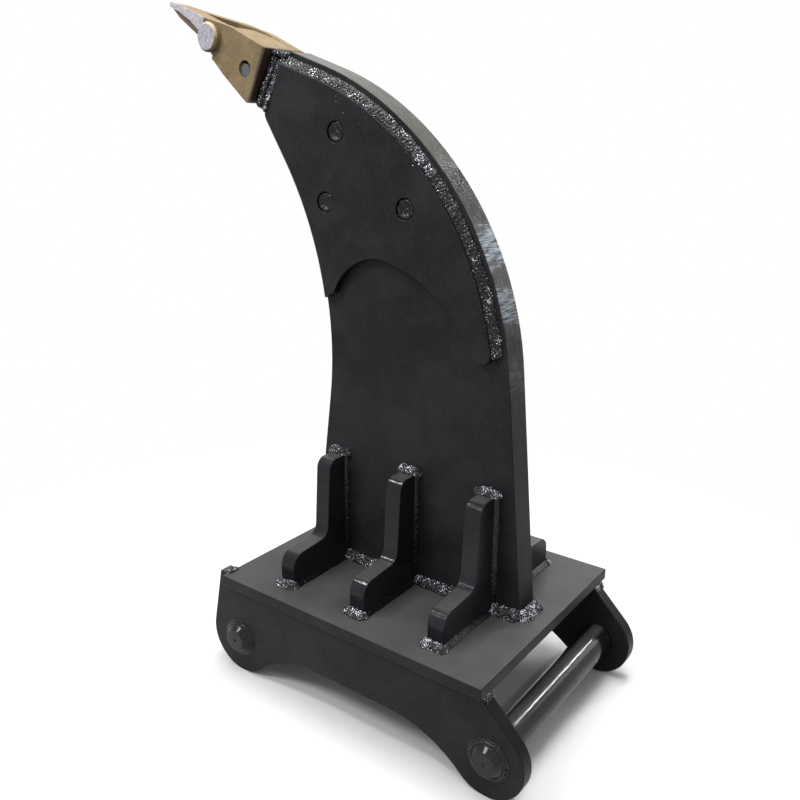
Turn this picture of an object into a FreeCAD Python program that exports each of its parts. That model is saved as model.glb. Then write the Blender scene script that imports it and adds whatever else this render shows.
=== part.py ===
import FreeCAD, Part
import math
import os
import Sketcher
from FreeCAD import Placement, Rotation, Vector

# Ripper shank with its cast tooth, standing on the ears that a coupler picks up.
# The design frame has X = 0 at the middle of the base plate, Z = 0 on the plate's top face,
# -X towards the tooth and Y = 0 in the blade's middle plane. The stand_x and stand_z cells
# then move every piece, so that the object stands on Z = 0 with its box centred on X and Y.

os.makedirs("parts", exist_ok=True)
doc = FreeCAD.newDocument("ripper_shank")

# Driving sizes in millimetres and degrees
SIZES = {
    # Base plate
    "plate_length": 444, "plate_width": 360, "plate_thick": 16,
    # Ears under the plate
    "ear_thick": 20, "ear_inset": 10, "ear_horn": 14, "ear_underside": 99,
    "ear_blend_radius": 160, "ear_rear_angle": 45,
    "front_lobe_radius": 56, "rear_lobe_radius": 53, "rear_lobe_setback": 4,
    # Coupler pins
    "pin_radius": 22.5, "pin_spacing": 430, "pin_drop": 101, "front_pin_inset": 21.5,
    "pin_overhang": 12, "pin_chamfer": 3.5, "centre_drill_radius": 2.5, "centre_drill_depth": 3,
    # Blade
    "blade_thick": 40, "foot_front": 165, "foot_rear": 185,
    "knee_x": 158, "knee_z": 150, "knee_radius": 300,
    "inner_corner_x": 120.5, "inner_corner_z": 431, "inner_radius": 500, "inner_top_lean": 31.8,
    "outer_corner_x": 124.5, "outer_corner_z": 613, "outer_radius": 440, "outer_top_slope": 19,
    # Cheek plates
    "cheek_thick": 12, "cheek_setback": 18, "cheek_bevel": 7, "cheek_front_z": 398,
    "cheek_toe_x": 123, "cheek_toe_z": 409, "arch_rise_x": 94, "arch_rise_z": 446,
    "arch_top_x": 42, "arch_top_z": 462, "arch_fall_x": 48, "arch_fall_z": 420,
    "arch_end_x": 104, "arch_end_z": 353, "cheek_heel_x": 118, "cheek_heel_z": 343.5,
    "cheek_end_z": 357,
    # Plug welds in the cheek plates
    "plug_radius": 14, "plug_recess": 2.5,
    "plug_a_x": -116, "plug_a_z": 622, "plug_b_x": -136, "plug_b_z": 531,
    "plug_c_x": -2, "plug_c_z": 528,
    # Gussets
    "gusset_thick": 25, "gusset_pitch": 128, "gusset_middle_x": 1.5, "gusset_height": 167,
    "gusset_reach": 120, "gusset_foot": 51, "gusset_foot_end": 46, "gusset_leg_top": 38,
    "gusset_leg_foot": 46, "gusset_crown_radius": 16, "gusset_root_radius": 17,
    "gusset_nose_radius": 20,
    # Weld legs
    "base_weld": 14, "gusset_weld": 9, "cheek_weld_edge": 4, "cheek_weld_land": 1,
    "pin_weld": 5.5, "ear_weld": 8,
    # Tooth frame: where its rear face stands and how steeply it rises
    "tooth_root_x": 249, "tooth_root_z": 694, "tooth_angle": 27.3,
    # Adapter
    "adapter_stand_off": 26, "adapter_shoulder": 9, "adapter_half_width": 27,
    "adapter_half_height": 38, "adapter_weld": 6, "adapter_weld_rise": 9.6,
    "adapter_weld_run": 15, "adapter_weld_toe": 1.5, "nose_reach": 82, "nose_fit": 0.3,
    # Tooth, from its rear face: distances along it and heights above its middle line
    "tooth_half_width": 39, "tooth_top": 40, "tooth_low": 41.5, "tooth_corner_radius": 6,
    "tooth_crown_reach": 70, "tooth_crown": 37, "tooth_neck_reach": 98, "tooth_neck_top": 32.3,
    "tooth_throat_reach": 94, "tooth_throat_low": 18.4, "tooth_reach": 234, "tooth_tip_top": 8,
    "tooth_tip_low": 1,
    # Waist, wings and tip seen from above
    "tooth_side_reach": 62, "waist_reach": 90, "waist_half_width": 35.5, "wing_reach": 112,
    "wing_half_width": 41.7, "wing_bend_reach": 130, "wing_bend_half_width": 40.5,
    "wing_end_reach": 168, "wing_end_half_width": 25, "tooth_tip_half_width": 11,
    "wing_root_low": 8.3, "wing_blade_reach": 205, "wing_blade_low": 4.7,
    # Keel under the wings
    "keel_half_width": 31, "keel_bend_reach": 134, "keel_bend_low": 7, "keel_run_reach": 205,
    "keel_run_low": 4, "keel_reach": 231, "keel_tip_half_width": 8, "keel_root": 6,
    # Round wear bosses on the wings
    "boss_x": 107.5, "boss_z": 7.4, "boss_radius": 20, "boss_half_width": 45.2, "boss_chamfer": 3,
    # Hollow on top: a ramp down from the rear face, a pointed step and a deep end
    "ramp_start": 4, "ramp_bend_reach": 50, "ramp_bend_z": 36.5, "step_reach": 94, "step_z": 30,
    "step_point": 9, "step_point_z": 27, "hollow_half_width": 26, "hollow_floor": 19,
    "hollow_run": 82, "hollow_end_half_width": 4,
    # Socket
    "socket_half_width": 26, "socket_half_height": 31, "socket_end_half_width": 17,
    "socket_end_half_height": 12,
    # Tooth pin and its lock ring
    "tooth_pin_radius": 8.9, "tooth_pin_x": 26, "tooth_pin_z": -3, "tooth_pin_recess": 2.5,
    "tooth_hole_radius": 11.3, "tooth_hole_lift": 2.1,
    "adapter_bore_fit": 0.2, "lock_ring_radius": 12.5, "lock_ring_thick": 5, "lock_ring_fit": 0.3,
    # How far a cut runs past the face that it opens
    "cut_past": 12,
    # Where the object stands in the finished frame
    "stand_x": 0, "stand_z": "=pin_drop + front_lobe_radius",
}

sheet = doc.addObject("Spreadsheet::Sheet", "Sizes")
for row, (alias, value) in enumerate(SIZES.items(), 1):
    sheet.set("A%d" % row, alias)
    sheet.set("B%d" % row, str(value))
    sheet.setAlias("B%d" % row, alias)
doc.recompute()


def size(alias):
    """Value of one cell of the sheet."""
    return float(sheet.get(alias))


PIECES = []
SIDES = {"near": -1, "far": 1}


# Bodies, sketches and features

def stand(obj, x="0", z="0", y="0"):
    """Bind a piece's place to the stand cells, plus its own offsets."""
    obj.setExpression("Placement.Base.x", "Sizes.stand_x + " + x)
    obj.setExpression("Placement.Base.y", y)
    obj.setExpression("Placement.Base.z", "Sizes.stand_z + " + z)


def new_body(label):
    """A body in the design frame."""
    body = doc.addObject("PartDesign::Body", label)
    body.Label = label
    stand(body)
    PIECES.append(body)
    return body


def tooth_frame_body(label):
    """A body whose own +X runs along the tooth towards its tip, with +Z on the outer side."""
    body = new_body(label)
    body.Placement = Placement(Vector(), Rotation(180, -size("tooth_angle"), 0))
    stand(body, x="(-Sizes.tooth_root_x)", z="Sizes.tooth_root_z")
    return body


def origin_plane(body, role):
    """One of the body's own origin planes."""
    return [item for item in body.Origin.OriginFeatures if item.Role == role][0]


def new_sketch(body, role, offset=None):
    """A sketch on one of the body's own origin planes, moved along its normal by offset."""
    sketch = body.newObject("Sketcher::SketchObject", body.Label + "_sketch")
    sketch.AttachmentSupport = (origin_plane(body, role), [""])
    sketch.MapMode = "FlatFace"
    if offset:
        sketch.setExpression("AttachmentOffset.Base.z", offset)
    return sketch


def draw(sketch, edges):
    """Put a closed run of lines and arcs in the sketch and join their ends."""
    first = sketch.GeometryCount
    sketch.addGeometry(edges, False)
    for number in range(len(edges)):
        i = first + number
        j = first + (number + 1) % len(edges)
        gap = {(a, b): sketch.getPoint(i, a).distanceToPoint(sketch.getPoint(j, b))
               for a in (1, 2) for b in (1, 2)}
        a, b = min(gap, key=gap.get)
        sketch.addConstraint(Sketcher.Constraint("Coincident", i, a, j, b))


def draw_circle(sketch, x, y, radius):
    """A circle whose centre and radius follow cells, where x and y are cell sums."""
    index = sketch.addGeometry(Part.Circle(Vector(cell(x), cell(y), 0), Vector(0, 0, 1), cell(radius)), False)
    for kind, args, text in (("Radius", (index,), radius), ("DistanceX", (-1, 1, index, 3), x),
                             ("DistanceY", (-1, 1, index, 3), y)):
        if kind != "Radius" and abs(cell(text)) < 1e-9:
            axis = -2 if kind == "DistanceX" else -1
            sketch.addConstraint(Sketcher.Constraint("PointOnObject", index, 3, axis))
            continue
        number = sketch.addConstraint(Sketcher.Constraint(kind, *args, cell(text)))
        sketch.setExpression("Constraints[%d]" % number, text)


def cell(text):
    """Value of an expression made of cells."""
    return float(doc.getObject("Sizes").evalExpression(text.replace("Sizes.", "")))


def rectangle(x_low, x_high, y_low, y_high):
    """Four lines of an upright rectangle."""
    corners = [(x_low, y_low), (x_high, y_low), (x_high, y_high), (x_low, y_high)]
    return rounded([(x, y, 0) for x, y in corners])


def draw_centred_rectangle(sketch, width, height):
    """A rectangle about the sketch's origin whose sides follow two cells."""
    w, h = cell(width) / 2, cell(height) / 2
    draw(sketch, rectangle(-w, w, -h, h))
    sketch.addConstraint([Sketcher.Constraint("Horizontal", 0), Sketcher.Constraint("Horizontal", 2),
                          Sketcher.Constraint("Vertical", 1), Sketcher.Constraint("Vertical", 3),
                          Sketcher.Constraint("Symmetric", 0, 1, 1, 2, -1, 1)])
    for line, text in ((0, width), (1, height)):
        number = sketch.addConstraint(Sketcher.Constraint("Distance", line, cell(text)))
        sketch.setExpression("Constraints[%d]" % number, text)


def extrude(body, kind, sketch, length, both=False, backwards=False):
    """A Pad or Pocket of the sketch by a length that follows the cells."""
    feature = body.newObject("PartDesign::" + kind, body.Label + "_" + kind.lower())
    feature.Profile = sketch
    feature.setExpression("Length", length)
    feature.SideType = "Symmetric" if both else "One side"
    feature.Reversed = backwards
    sketch.Visibility = False
    doc.recompute()
    return feature


def bind(obj, **values):
    """Give properties their values: text follows the cells, a number is set as it is."""
    for name, value in values.items():
        if isinstance(value, str):
            obj.setExpression(name, value)
        else:
            setattr(obj, name, value)


def taper(body, kind, start, run, foot, end):
    """Block along the body's X whose foot and end are (half width, low, high) sections."""
    block = body.newObject("PartDesign::%sWedge" % kind, body.Label + "_taper")
    block.AttachmentSupport = (origin_plane(body, "XY_Plane"), [""])
    block.MapMode = "FlatFace"
    block.AttachmentOffset = Placement(Vector(), Rotation(Vector(0, 0, 1), -90))
    block.setExpression("AttachmentOffset.Base.x", start)
    bind(block, Ymin=0, Ymax=run, Xmin="-1 * (%s)" % foot[0], Xmax=foot[0], Zmin=foot[1], Zmax=foot[2],
         X2min="-1 * (%s)" % end[0], X2max=end[0], Z2min=end[1], Z2max=end[2])
    doc.recompute()
    return block


def cone(body, x, y, z, foot, end, height):
    """A cone-shaped cut that stands on the XZ plane's normal at z."""
    pit = body.newObject("PartDesign::SubtractiveCone", body.Label + "_cone")
    pit.AttachmentSupport = (origin_plane(body, "XZ_Plane"), [""])
    pit.MapMode = "FlatFace"
    for name, value in (("x", x), ("y", y), ("z", z)):
        pit.setExpression("AttachmentOffset.Base." + name, value)
    bind(pit, Radius1=foot, Radius2=end, Height=height)
    doc.recompute()
    return pit


def finish_edges(body, kind, wanted, amount, second=None):
    """Fillet or chamfer the edges of the body's shape that the test picks."""
    names = ["Edge%d" % (i + 1) for i, e in enumerate(body.Tip.Shape.Edges) if wanted(e)]
    feature = body.newObject("PartDesign::" + kind, body.Label + "_" + kind.lower())
    feature.Base = (body.Tip if body.Tip != feature else feature.BaseFeature, names)
    if kind == "Fillet":
        feature.setExpression("Radius", amount)
    else:
        feature.ChamferType = "Two distances" if second else "Equal distance"
        feature.setExpression("Size", amount)
        if second:
            feature.setExpression("Size2", second)
    doc.recompute()
    return feature


# Outline geometry in the plane of a sketch

def meet(p, d, q, e):
    """Where the line through p along d crosses the line through q along e."""
    cross = d[0] * e[1] - d[1] * e[0]
    t = ((q[0] - p[0]) * e[1] - (q[1] - p[1]) * e[0]) / cross
    return (p[0] + t * d[0], p[1] + t * d[1])


def corner_arc(before, corner, after, radius):
    """Centre and both tangent points of the arc that rounds a corner."""
    a = unit(before[0] - corner[0], before[1] - corner[1])
    b = unit(after[0] - corner[0], after[1] - corner[1])
    half = math.acos(a[0] * b[0] + a[1] * b[1]) / 2
    run = radius / math.tan(half)
    mid = unit(a[0] + b[0], a[1] + b[1])
    centre = (corner[0] + mid[0] * radius / math.sin(half), corner[1] + mid[1] * radius / math.sin(half))
    start = (corner[0] + a[0] * run, corner[1] + a[1] * run)
    end = (corner[0] + b[0] * run, corner[1] + b[1] * run)
    return centre, start, end


def unit(x, y):
    """The vector at length one."""
    length = math.hypot(x, y)
    return (x / length, y / length)


def line(p, q):
    return Part.LineSegment(Vector(p[0], p[1], 0), Vector(q[0], q[1], 0))


def arc_through(p, middle, q):
    return Part.Arc(*[Vector(v[0], v[1], 0) for v in (p, middle, q)])


def arc_about(centre, p, q):
    """The shorter arc from p to q about a centre."""
    radius = math.hypot(p[0] - centre[0], p[1] - centre[1])
    towards = unit((p[0] + q[0]) / 2 - centre[0], (p[1] + q[1]) / 2 - centre[1])
    return arc_through(p, (centre[0] + towards[0] * radius, centre[1] + towards[1] * radius), q)


def rounded(points):
    """Closed outline through corners (x, y, radius), with an arc where the radius isn't 0."""
    ends = []
    for i, (x, y, radius) in enumerate(points):
        if radius:
            before, after = points[i - 1][:2], points[(i + 1) % len(points)][:2]
            ends.append(corner_arc(before, (x, y), after, radius))
        else:
            ends.append((None, (x, y), (x, y)))
    edges = []
    for i, (centre, start, end) in enumerate(ends):
        if centre:
            edges.append(arc_about(centre, start, end))
        following = ends[(i + 1) % len(ends)][1]
        edges.append(line(end, following))
    return edges


# Shared places, worked out from the sheet

HALF_BLADE = size("blade_thick") / 2
FLOOR = -size("pin_drop") - size("front_lobe_radius")
FRONT_PIN_X = -size("plate_length") / 2 + size("front_pin_inset")
REAR_PIN_X = FRONT_PIN_X + size("pin_spacing")
FRONT_PIN = "(-Sizes.plate_length / 2 + Sizes.front_pin_inset)"
REAR_PIN = "(-Sizes.plate_length / 2 + Sizes.front_pin_inset + Sizes.pin_spacing)"
EAR_FACE = "(Sizes.plate_width / 2 - Sizes.ear_inset)"
TOOTH_TURN = math.radians(size("tooth_angle"))
ALONG = (-math.cos(TOOTH_TURN), math.sin(TOOTH_TURN))
ACROSS = (math.sin(TOOTH_TURN), math.cos(TOOTH_TURN))
NOSE_LINE = (-size("tooth_root_x") - ALONG[0] * size("adapter_stand_off"),
             size("tooth_root_z") - ALONG[1] * size("adapter_stand_off"))

# The blade's two long edges: a foot point, a big rounded corner and a nose point on the cut end
INNER_CORNER = (-size("inner_corner_x"), size("inner_corner_z"))
OUTER_CORNER = (size("outer_corner_x"), size("outer_corner_z"))
INNER_LEAN = math.radians(size("inner_top_lean"))
OUTER_SLOPE = math.radians(size("outer_top_slope"))
INNER_TOP = (-math.sin(INNER_LEAN), math.cos(INNER_LEAN))
OUTER_TOP = (-math.cos(OUTER_SLOPE), math.sin(OUTER_SLOPE))
NOSE_LOW = meet(INNER_CORNER, INNER_TOP, NOSE_LINE, ACROSS)
NOSE_HIGH = meet(OUTER_CORNER, OUTER_TOP, NOSE_LINE, ACROSS)
KNEE = (-size("knee_x"), size("knee_z"))
FOOT_REAR = (size("foot_rear"), 0)
INNER_ARC = corner_arc(KNEE, INNER_CORNER, NOSE_LOW, size("inner_radius"))
OUTER_ARC = corner_arc(FOOT_REAR, OUTER_CORNER, NOSE_HIGH, size("outer_radius"))


def outer_edge(inset, end_z):
    """The outer edge moved inwards: nose point, upper tangent point and the point at end_z."""
    centre = OUTER_ARC[0]
    radius = size("outer_radius") - inset
    towards = unit(OUTER_ARC[2][0] - centre[0], OUTER_ARC[2][1] - centre[1])
    tangent = (centre[0] + towards[0] * radius, centre[1] + towards[1] * radius)
    nose = meet(tangent, OUTER_TOP, NOSE_LINE, ACROSS)
    end = (centre[0] + math.sqrt(radius ** 2 - (end_z - centre[1]) ** 2), end_z)
    return centre, nose, tangent, end


# Blade, cheek plates and their welds

def make_blade():
    body = new_body("shank_blade")
    sketch = new_sketch(body, "XZ_Plane")
    draw(sketch, rounded([
        (-size("foot_front"), 0, 0),
        (KNEE[0], KNEE[1], size("knee_radius")),
        (INNER_CORNER[0], INNER_CORNER[1], size("inner_radius")),
        (NOSE_LOW[0], NOSE_LOW[1], 0),
        (NOSE_HIGH[0], NOSE_HIGH[1], 0),
        (OUTER_CORNER[0], OUTER_CORNER[1], size("outer_radius")),
        (FOOT_REAR[0], FOOT_REAR[1], 0)]))
    extrude(body, "Pad", sketch, "Sizes.blade_thick", both=True)
    return body


def cheek_outline():
    """Flush with the blade in front, arched below, set back from the blade's outer edge."""
    centre, nose, tangent, end = outer_edge(size("cheek_setback"), size("cheek_end_z"))
    inner_centre, _, inner_tangent = INNER_ARC
    front_z = size("cheek_front_z")
    reach = math.sqrt(size("inner_radius") ** 2 - (front_z - inner_centre[1]) ** 2)
    front = (inner_centre[0] + reach, front_z)
    toe = (-size("cheek_toe_x"), size("cheek_toe_z"))
    rise = (-size("arch_rise_x"), size("arch_rise_z"))
    top = (-size("arch_top_x"), size("arch_top_z"))
    fall = (size("arch_fall_x"), size("arch_fall_z"))
    arch_end = (size("arch_end_x"), size("arch_end_z"))
    heel = (size("cheek_heel_x"), size("cheek_heel_z"))
    return [line(NOSE_LOW, inner_tangent), arc_about(inner_centre, inner_tangent, front),
            line(front, toe), arc_through(toe, rise, top), arc_through(top, fall, arch_end),
            arc_through(arch_end, heel, end), arc_about(centre, end, tangent),
            line(tangent, nose), line(nose, NOSE_LOW)]


def side_pad(body, side, sketch_edges, length):
    """Pad from the blade's face outwards, on the near or the far side."""
    near = SIDES[side] < 0
    offset = "Sizes.blade_thick / 2" if near else "-Sizes.blade_thick / 2"
    sketch = new_sketch(body, "XZ_Plane", offset)
    draw(sketch, sketch_edges)
    return extrude(body, "Pad", sketch, length, backwards=not near)


def make_cheek(side):
    """One doubler plate with three plug holes and a bevelled front edge."""
    body = new_body("cheek_plate_" + side)
    side_pad(body, side, cheek_outline(), "Sizes.cheek_thick")
    face_y = SIDES[side] * (HALF_BLADE + size("cheek_thick"))
    front_low = size("cheek_front_z")

    def front_edge(edge):
        box = edge.BoundBox
        flat = abs(box.YMin - face_y) < 0.01 and abs(box.YMax - face_y) < 0.01
        middle = edge.valueAt((edge.FirstParameter + edge.LastParameter) / 2)
        inside = abs(math.hypot(middle.x - INNER_ARC[0][0], middle.z - INNER_ARC[0][1])
                     - size("inner_radius")) < 0.01
        straight = abs((middle.x - NOSE_LOW[0]) * INNER_TOP[1] - (middle.z - NOSE_LOW[1]) * INNER_TOP[0]) < 0.01
        return flat and middle.z > front_low and (inside or straight)

    finish_edges(body, "Chamfer", front_edge, "Sizes.cheek_bevel")
    near = SIDES[side] < 0
    offset = "Sizes.blade_thick / 2" if near else "-Sizes.blade_thick / 2"
    holes = new_sketch(body, "XZ_Plane", offset)
    for hole in "abc":
        draw_circle(holes, "Sizes.plug_%s_x" % hole, "Sizes.plug_%s_z" % hole, "Sizes.plug_radius")
    extrude(body, "Pocket", holes, "Sizes.cheek_thick", backwards=near)
    return body


def make_plugs(side):
    """Three plug welds, each sunk below the cheek's face."""
    plugs = []
    for hole in "abc":
        out = SIDES[side]
        disc = doc.addObject("Part::Cylinder", "plug_%s_%s" % (side, hole))
        disc.setExpression("Radius", "Sizes.plug_radius")
        disc.setExpression("Height", "Sizes.cheek_thick - Sizes.plug_recess")
        disc.Placement = Placement(Vector(), Rotation(Vector(1, 0, 0), -90 * out))
        stand(disc, x="Sizes.plug_%s_x" % hole, z="Sizes.plug_%s_z" % hole,
              y="%d * Sizes.blade_thick / 2" % out)
        plugs.append(disc)
    return group("plug_welds_" + side, plugs)


def make_cheek_weld(side):
    """Fillet weld along the cheek's rear edge, nearly out to the blade's edge."""
    inner = outer_edge(size("cheek_setback"), size("cheek_end_z"))
    outer = outer_edge(size("cheek_weld_edge"), size("cheek_end_z") - size("cheek_weld_edge"))
    edges = [line(inner[1], inner[2]), arc_about(inner[0], inner[2], inner[3]),
             line(inner[3], outer[3]), arc_about(outer[0], outer[3], outer[2]),
             line(outer[2], outer[1]), line(outer[1], inner[1])]
    body = new_body("cheek_weld_" + side)
    side_pad(body, side, edges, "Sizes.cheek_thick")
    face_y = SIDES[side] * (HALF_BLADE + size("cheek_thick"))
    radius = size("outer_radius") - size("cheek_weld_edge")

    def outer_run(edge):
        box = edge.BoundBox
        flat = abs(box.YMin - face_y) < 0.01 and abs(box.YMax - face_y) < 0.01
        middle = edge.valueAt((edge.FirstParameter + edge.LastParameter) / 2)
        curved = abs(math.hypot(middle.x - outer[0][0], middle.z - outer[0][1]) - radius) < 0.01
        straight = abs((middle.x - outer[1][0]) * OUTER_TOP[1] - (middle.z - outer[1][1]) * OUTER_TOP[0]) < 0.01
        return flat and (curved or straight)

    finish_edges(body, "Chamfer", outer_run,
                 "Sizes.cheek_thick - Sizes.cheek_weld_land",
                 "Sizes.cheek_setback - Sizes.cheek_weld_edge - Sizes.cheek_weld_land")
    return body


# Booleans and groups of solids

def cut(label, base, tools):
    """Base with the tools taken away, one after the other."""
    result = base
    for number, tool in enumerate(tools, 1):
        last = number == len(tools)
        step = doc.addObject("Part::Cut", label if last else "%s_step_%d" % (label, number))
        step.Base = result
        step.Tool = tool
        result = step
    return result


def fuse(label, shapes):
    """One solid of several that overlap."""
    step = doc.addObject("Part::MultiFuse", label)
    step.Shapes = shapes
    return step


def group(label, solids):
    """A piece made of several separate solids."""
    whole = doc.addObject("Part::Compound", label)
    whole.Links = solids
    whole.Label = label
    PIECES.append(whole)
    return whole


# Base plate, ears and pins

def make_plate():
    body = new_body("base_plate")
    sketch = new_sketch(body, "XY_Plane")
    draw_centred_rectangle(sketch, "Sizes.plate_length", "Sizes.plate_width")
    extrude(body, "Pad", sketch, "Sizes.plate_thick", backwards=True)
    return body


def tangent_from(point, centre, radius, side):
    """Tangent point on a circle seen from a point, on the given side."""
    dx, dy = centre[0] - point[0], centre[1] - point[1]
    distance = math.hypot(dx, dy)
    turn = side * math.acos(radius / distance)
    back = math.atan2(-dy, -dx) + turn
    return (centre[0] + radius * math.cos(back), centre[1] + radius * math.sin(back))


def ear_outline():
    """A lobe round each pin, a flat underside blended into both and a horn before the plate."""
    half, under = size("plate_length") / 2, -size("ear_underside")
    blend = size("ear_blend_radius")
    front_r, rear_r = size("front_lobe_radius"), size("rear_lobe_radius")
    front_c = (FRONT_PIN_X, -size("pin_drop"))
    rear_c = (REAR_PIN_X - size("rear_lobe_setback"), FLOOR + rear_r)
    horn = (-half - size("ear_horn"), 0)
    front_touch = tangent_from(horn, front_c, front_r, 1)
    slope = math.radians(size("ear_rear_angle"))
    rear_touch = (rear_c[0] + rear_r * math.cos(slope), rear_c[1] + rear_r * math.sin(slope))
    plate_low = -size("plate_thick")
    rear_top = meet(rear_touch, (-math.sin(slope), math.cos(slope)), (0, plate_low), (1, 0))

    def blend_points(lobe, radius, side):
        """Centre of the blend arc, its point on the flat and its point on the lobe."""
        low = under - blend
        reach = math.sqrt((radius + blend) ** 2 - (low - lobe[1]) ** 2)
        centre = (lobe[0] + side * reach, low)
        share = radius / (radius + blend)
        touch = (lobe[0] + (centre[0] - lobe[0]) * share, lobe[1] + (low - lobe[1]) * share)
        return centre, (centre[0], under), touch

    front_blend = blend_points(front_c, front_r, 1)
    rear_blend = blend_points(rear_c, rear_r, -1)
    return [line(horn, (-half, 0)), line((-half, 0), (-half, plate_low)),
            line((-half, plate_low), rear_top), line(rear_top, rear_touch),
            arc_through(rear_touch, (rear_c[0], FLOOR), rear_blend[2]),
            arc_about(rear_blend[0], rear_blend[2], rear_blend[1]),
            line(rear_blend[1], front_blend[1]),
            arc_about(front_blend[0], front_blend[1], front_blend[2]),
            arc_through(front_blend[2], (front_c[0], FLOOR), front_touch),
            line(front_touch, horn)]


def make_ear(side):
    """One side plate with both pin holes."""
    body = new_body("ear_" + side)
    near = SIDES[side] < 0
    offset = EAR_FACE if near else "-1 * " + EAR_FACE
    sketch = new_sketch(body, "XZ_Plane", offset)
    draw(sketch, ear_outline())
    extrude(body, "Pad", sketch, "Sizes.ear_thick", backwards=near)
    holes = new_sketch(body, "XZ_Plane", offset)
    for x in (FRONT_PIN, REAR_PIN):
        draw_circle(holes, x, "-Sizes.pin_drop", "Sizes.pin_radius")
    extrude(body, "Pocket", holes, "Sizes.ear_thick", backwards=not near)
    return body


def make_pin(label, x):
    """Round bar through both ears, chamfered and centre-drilled at its ends."""
    body = new_body(label)
    sketch = new_sketch(body, "XZ_Plane")
    draw_circle(sketch, x, "-Sizes.pin_drop", "Sizes.pin_radius")
    extrude(body, "Pad", sketch, "2 * (%s + Sizes.pin_overhang)" % EAR_FACE, both=True)
    finish_edges(body, "Chamfer", lambda e: isinstance(e.Curve, Part.Circle), "Sizes.pin_chamfer")
    end, depth, wide = "(%s + Sizes.pin_overhang)" % EAR_FACE, "Sizes.centre_drill_depth", "Sizes.centre_drill_radius"
    cone(body, x, "-Sizes.pin_drop", "%s - %s" % (end, depth), 0, wide, depth)
    cone(body, x, "-Sizes.pin_drop", "-1 * " + end, wide, 0, depth)
    return body


def make_pin_welds(side):
    """A fillet ring round each pin where it leaves the ear."""
    rings = []
    out = SIDES[side]
    for name, x in (("front", FRONT_PIN), ("rear", REAR_PIN)):
        label = "pin_weld_%s_%s" % (side, name)
        slope = doc.addObject("Part::Cone", label + "_slope")
        slope.setExpression("Radius1", "Sizes.pin_radius + Sizes.pin_weld")
        slope.setExpression("Radius2", "Sizes.pin_radius")
        slope.setExpression("Height", "Sizes.pin_weld")
        bore = doc.addObject("Part::Cylinder", label + "_bore")
        bore.setExpression("Radius", "Sizes.pin_radius")
        bore.setExpression("Height", "Sizes.pin_weld")
        for item in (slope, bore):
            item.Placement = Placement(Vector(), Rotation(Vector(1, 0, 0), -90 * out))
            stand(item, x=x, z="(-Sizes.pin_drop)", y="%d * %s" % (out, EAR_FACE))
        rings.append(cut(label, slope, [bore]))
    return group("pin_welds_" + side, rings)


def make_ear_welds(side):
    """Fillets between the plate's underside and both faces of an ear."""
    beads = []
    out = SIDES[side]
    for name, sign, face in (("outer", 1, EAR_FACE), ("inner", -1, "(%s - Sizes.ear_thick)" % EAR_FACE)):
        label = "ear_weld_%s_%s" % (side, name)
        bead = doc.addObject("Part::Wedge", label)
        bead.Ymin = 0
        bead.setExpression("Ymax", "Sizes.ear_weld")
        bead.Xmin = 0
        bead.X2min = 0
        bead.setExpression("Xmax", "Sizes.plate_length - 2 * Sizes.ear_weld")
        bead.setExpression("X2max", "Sizes.plate_length - 2 * Sizes.ear_weld")
        for prop in ("Zmin", "Z2min", "Z2max"):
            setattr(bead, prop, 0)
        bead.setExpression("Zmax", "Sizes.ear_weld")
        away = out * sign
        bead.Placement = Placement(Vector(), Rotation(Vector(1, 0, 0), 180) if away < 0
                                   else Rotation(Vector(1, 0, 0), -90))
        stand(bead, x="(Sizes.ear_weld - Sizes.plate_length / 2)",
              z="(-Sizes.plate_thick)", y="%d * %s" % (out, face))
        beads.append(bead)
    return group("ear_welds_" + side, beads)


# Gussets and the welds on the plate

def gusset_outline(side):
    """L profile: a leg up the blade, a foot along the plate, a hollow corner between them."""
    face = HALF_BLADE
    points = [(0, 0, 0), (size("gusset_reach"), 0, 0),
              (size("gusset_reach"), size("gusset_foot_end"), size("gusset_nose_radius")),
              (size("gusset_leg_foot"), size("gusset_foot"), size("gusset_root_radius")),
              (size("gusset_leg_top"), size("gusset_height"), size("gusset_crown_radius")),
              (0, size("gusset_height"), 0)]
    out = SIDES[side]
    return rounded([(out * (face + s), z, r) for s, z, r in points])


def gusset_x(place):
    """Middle of a gusset along X, as a sum of cells."""
    step = {"front": -1, "middle": 0, "rear": 1}[place]
    return "(Sizes.gusset_middle_x + %d * Sizes.gusset_pitch)" % step


def make_gusset(side, place):
    body = new_body("gusset_%s_%s" % (side, place))
    sketch = new_sketch(body, "YZ_Plane", gusset_x(place))
    draw(sketch, gusset_outline(side))
    extrude(body, "Pad", sketch, "Sizes.gusset_thick", both=True)
    return body


def frustum(label, x, y, z_low, height, inset_x, inset_y):
    """Block that narrows upwards: x and y are (low, high) cell sums of its foot."""
    block = doc.addObject("Part::Wedge", label)
    block.Placement = Placement(Vector(), Rotation(Vector(1, 0, 0), 90))
    block.Ymin = 0
    block.setExpression("Ymax", height)
    block.setExpression("Xmin", x[0])
    block.setExpression("Xmax", x[1])
    block.setExpression("X2min", "%s + %s" % (x[0], inset_x))
    block.setExpression("X2max", "%s - %s" % (x[1], inset_x))
    block.setExpression("Zmin", "-1 * %s" % y[1])
    block.setExpression("Zmax", "-1 * %s" % y[0])
    block.setExpression("Z2min", "-1 * %s + %s" % (y[1], inset_y[1]))
    block.setExpression("Z2max", "-1 * %s - %s" % (y[0], inset_y[0]))
    stand(block, z=z_low)
    return block


def make_blade_base_weld(blade, gussets):
    """Fillet round the blade's foot, between the gussets."""
    leg = "Sizes.base_weld"
    foot = frustum("blade_foot_bead",
                   ("(-Sizes.foot_front - %s)" % leg, "(Sizes.foot_rear + %s)" % leg),
                   ("(-Sizes.blade_thick / 2 - %s)" % leg, "(Sizes.blade_thick / 2 + %s)" % leg),
                   "0", leg, leg, (leg, leg))
    weld = cut("blade_base_weld", foot, [blade] + gussets)
    PIECES.append(weld)
    return foot


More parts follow.
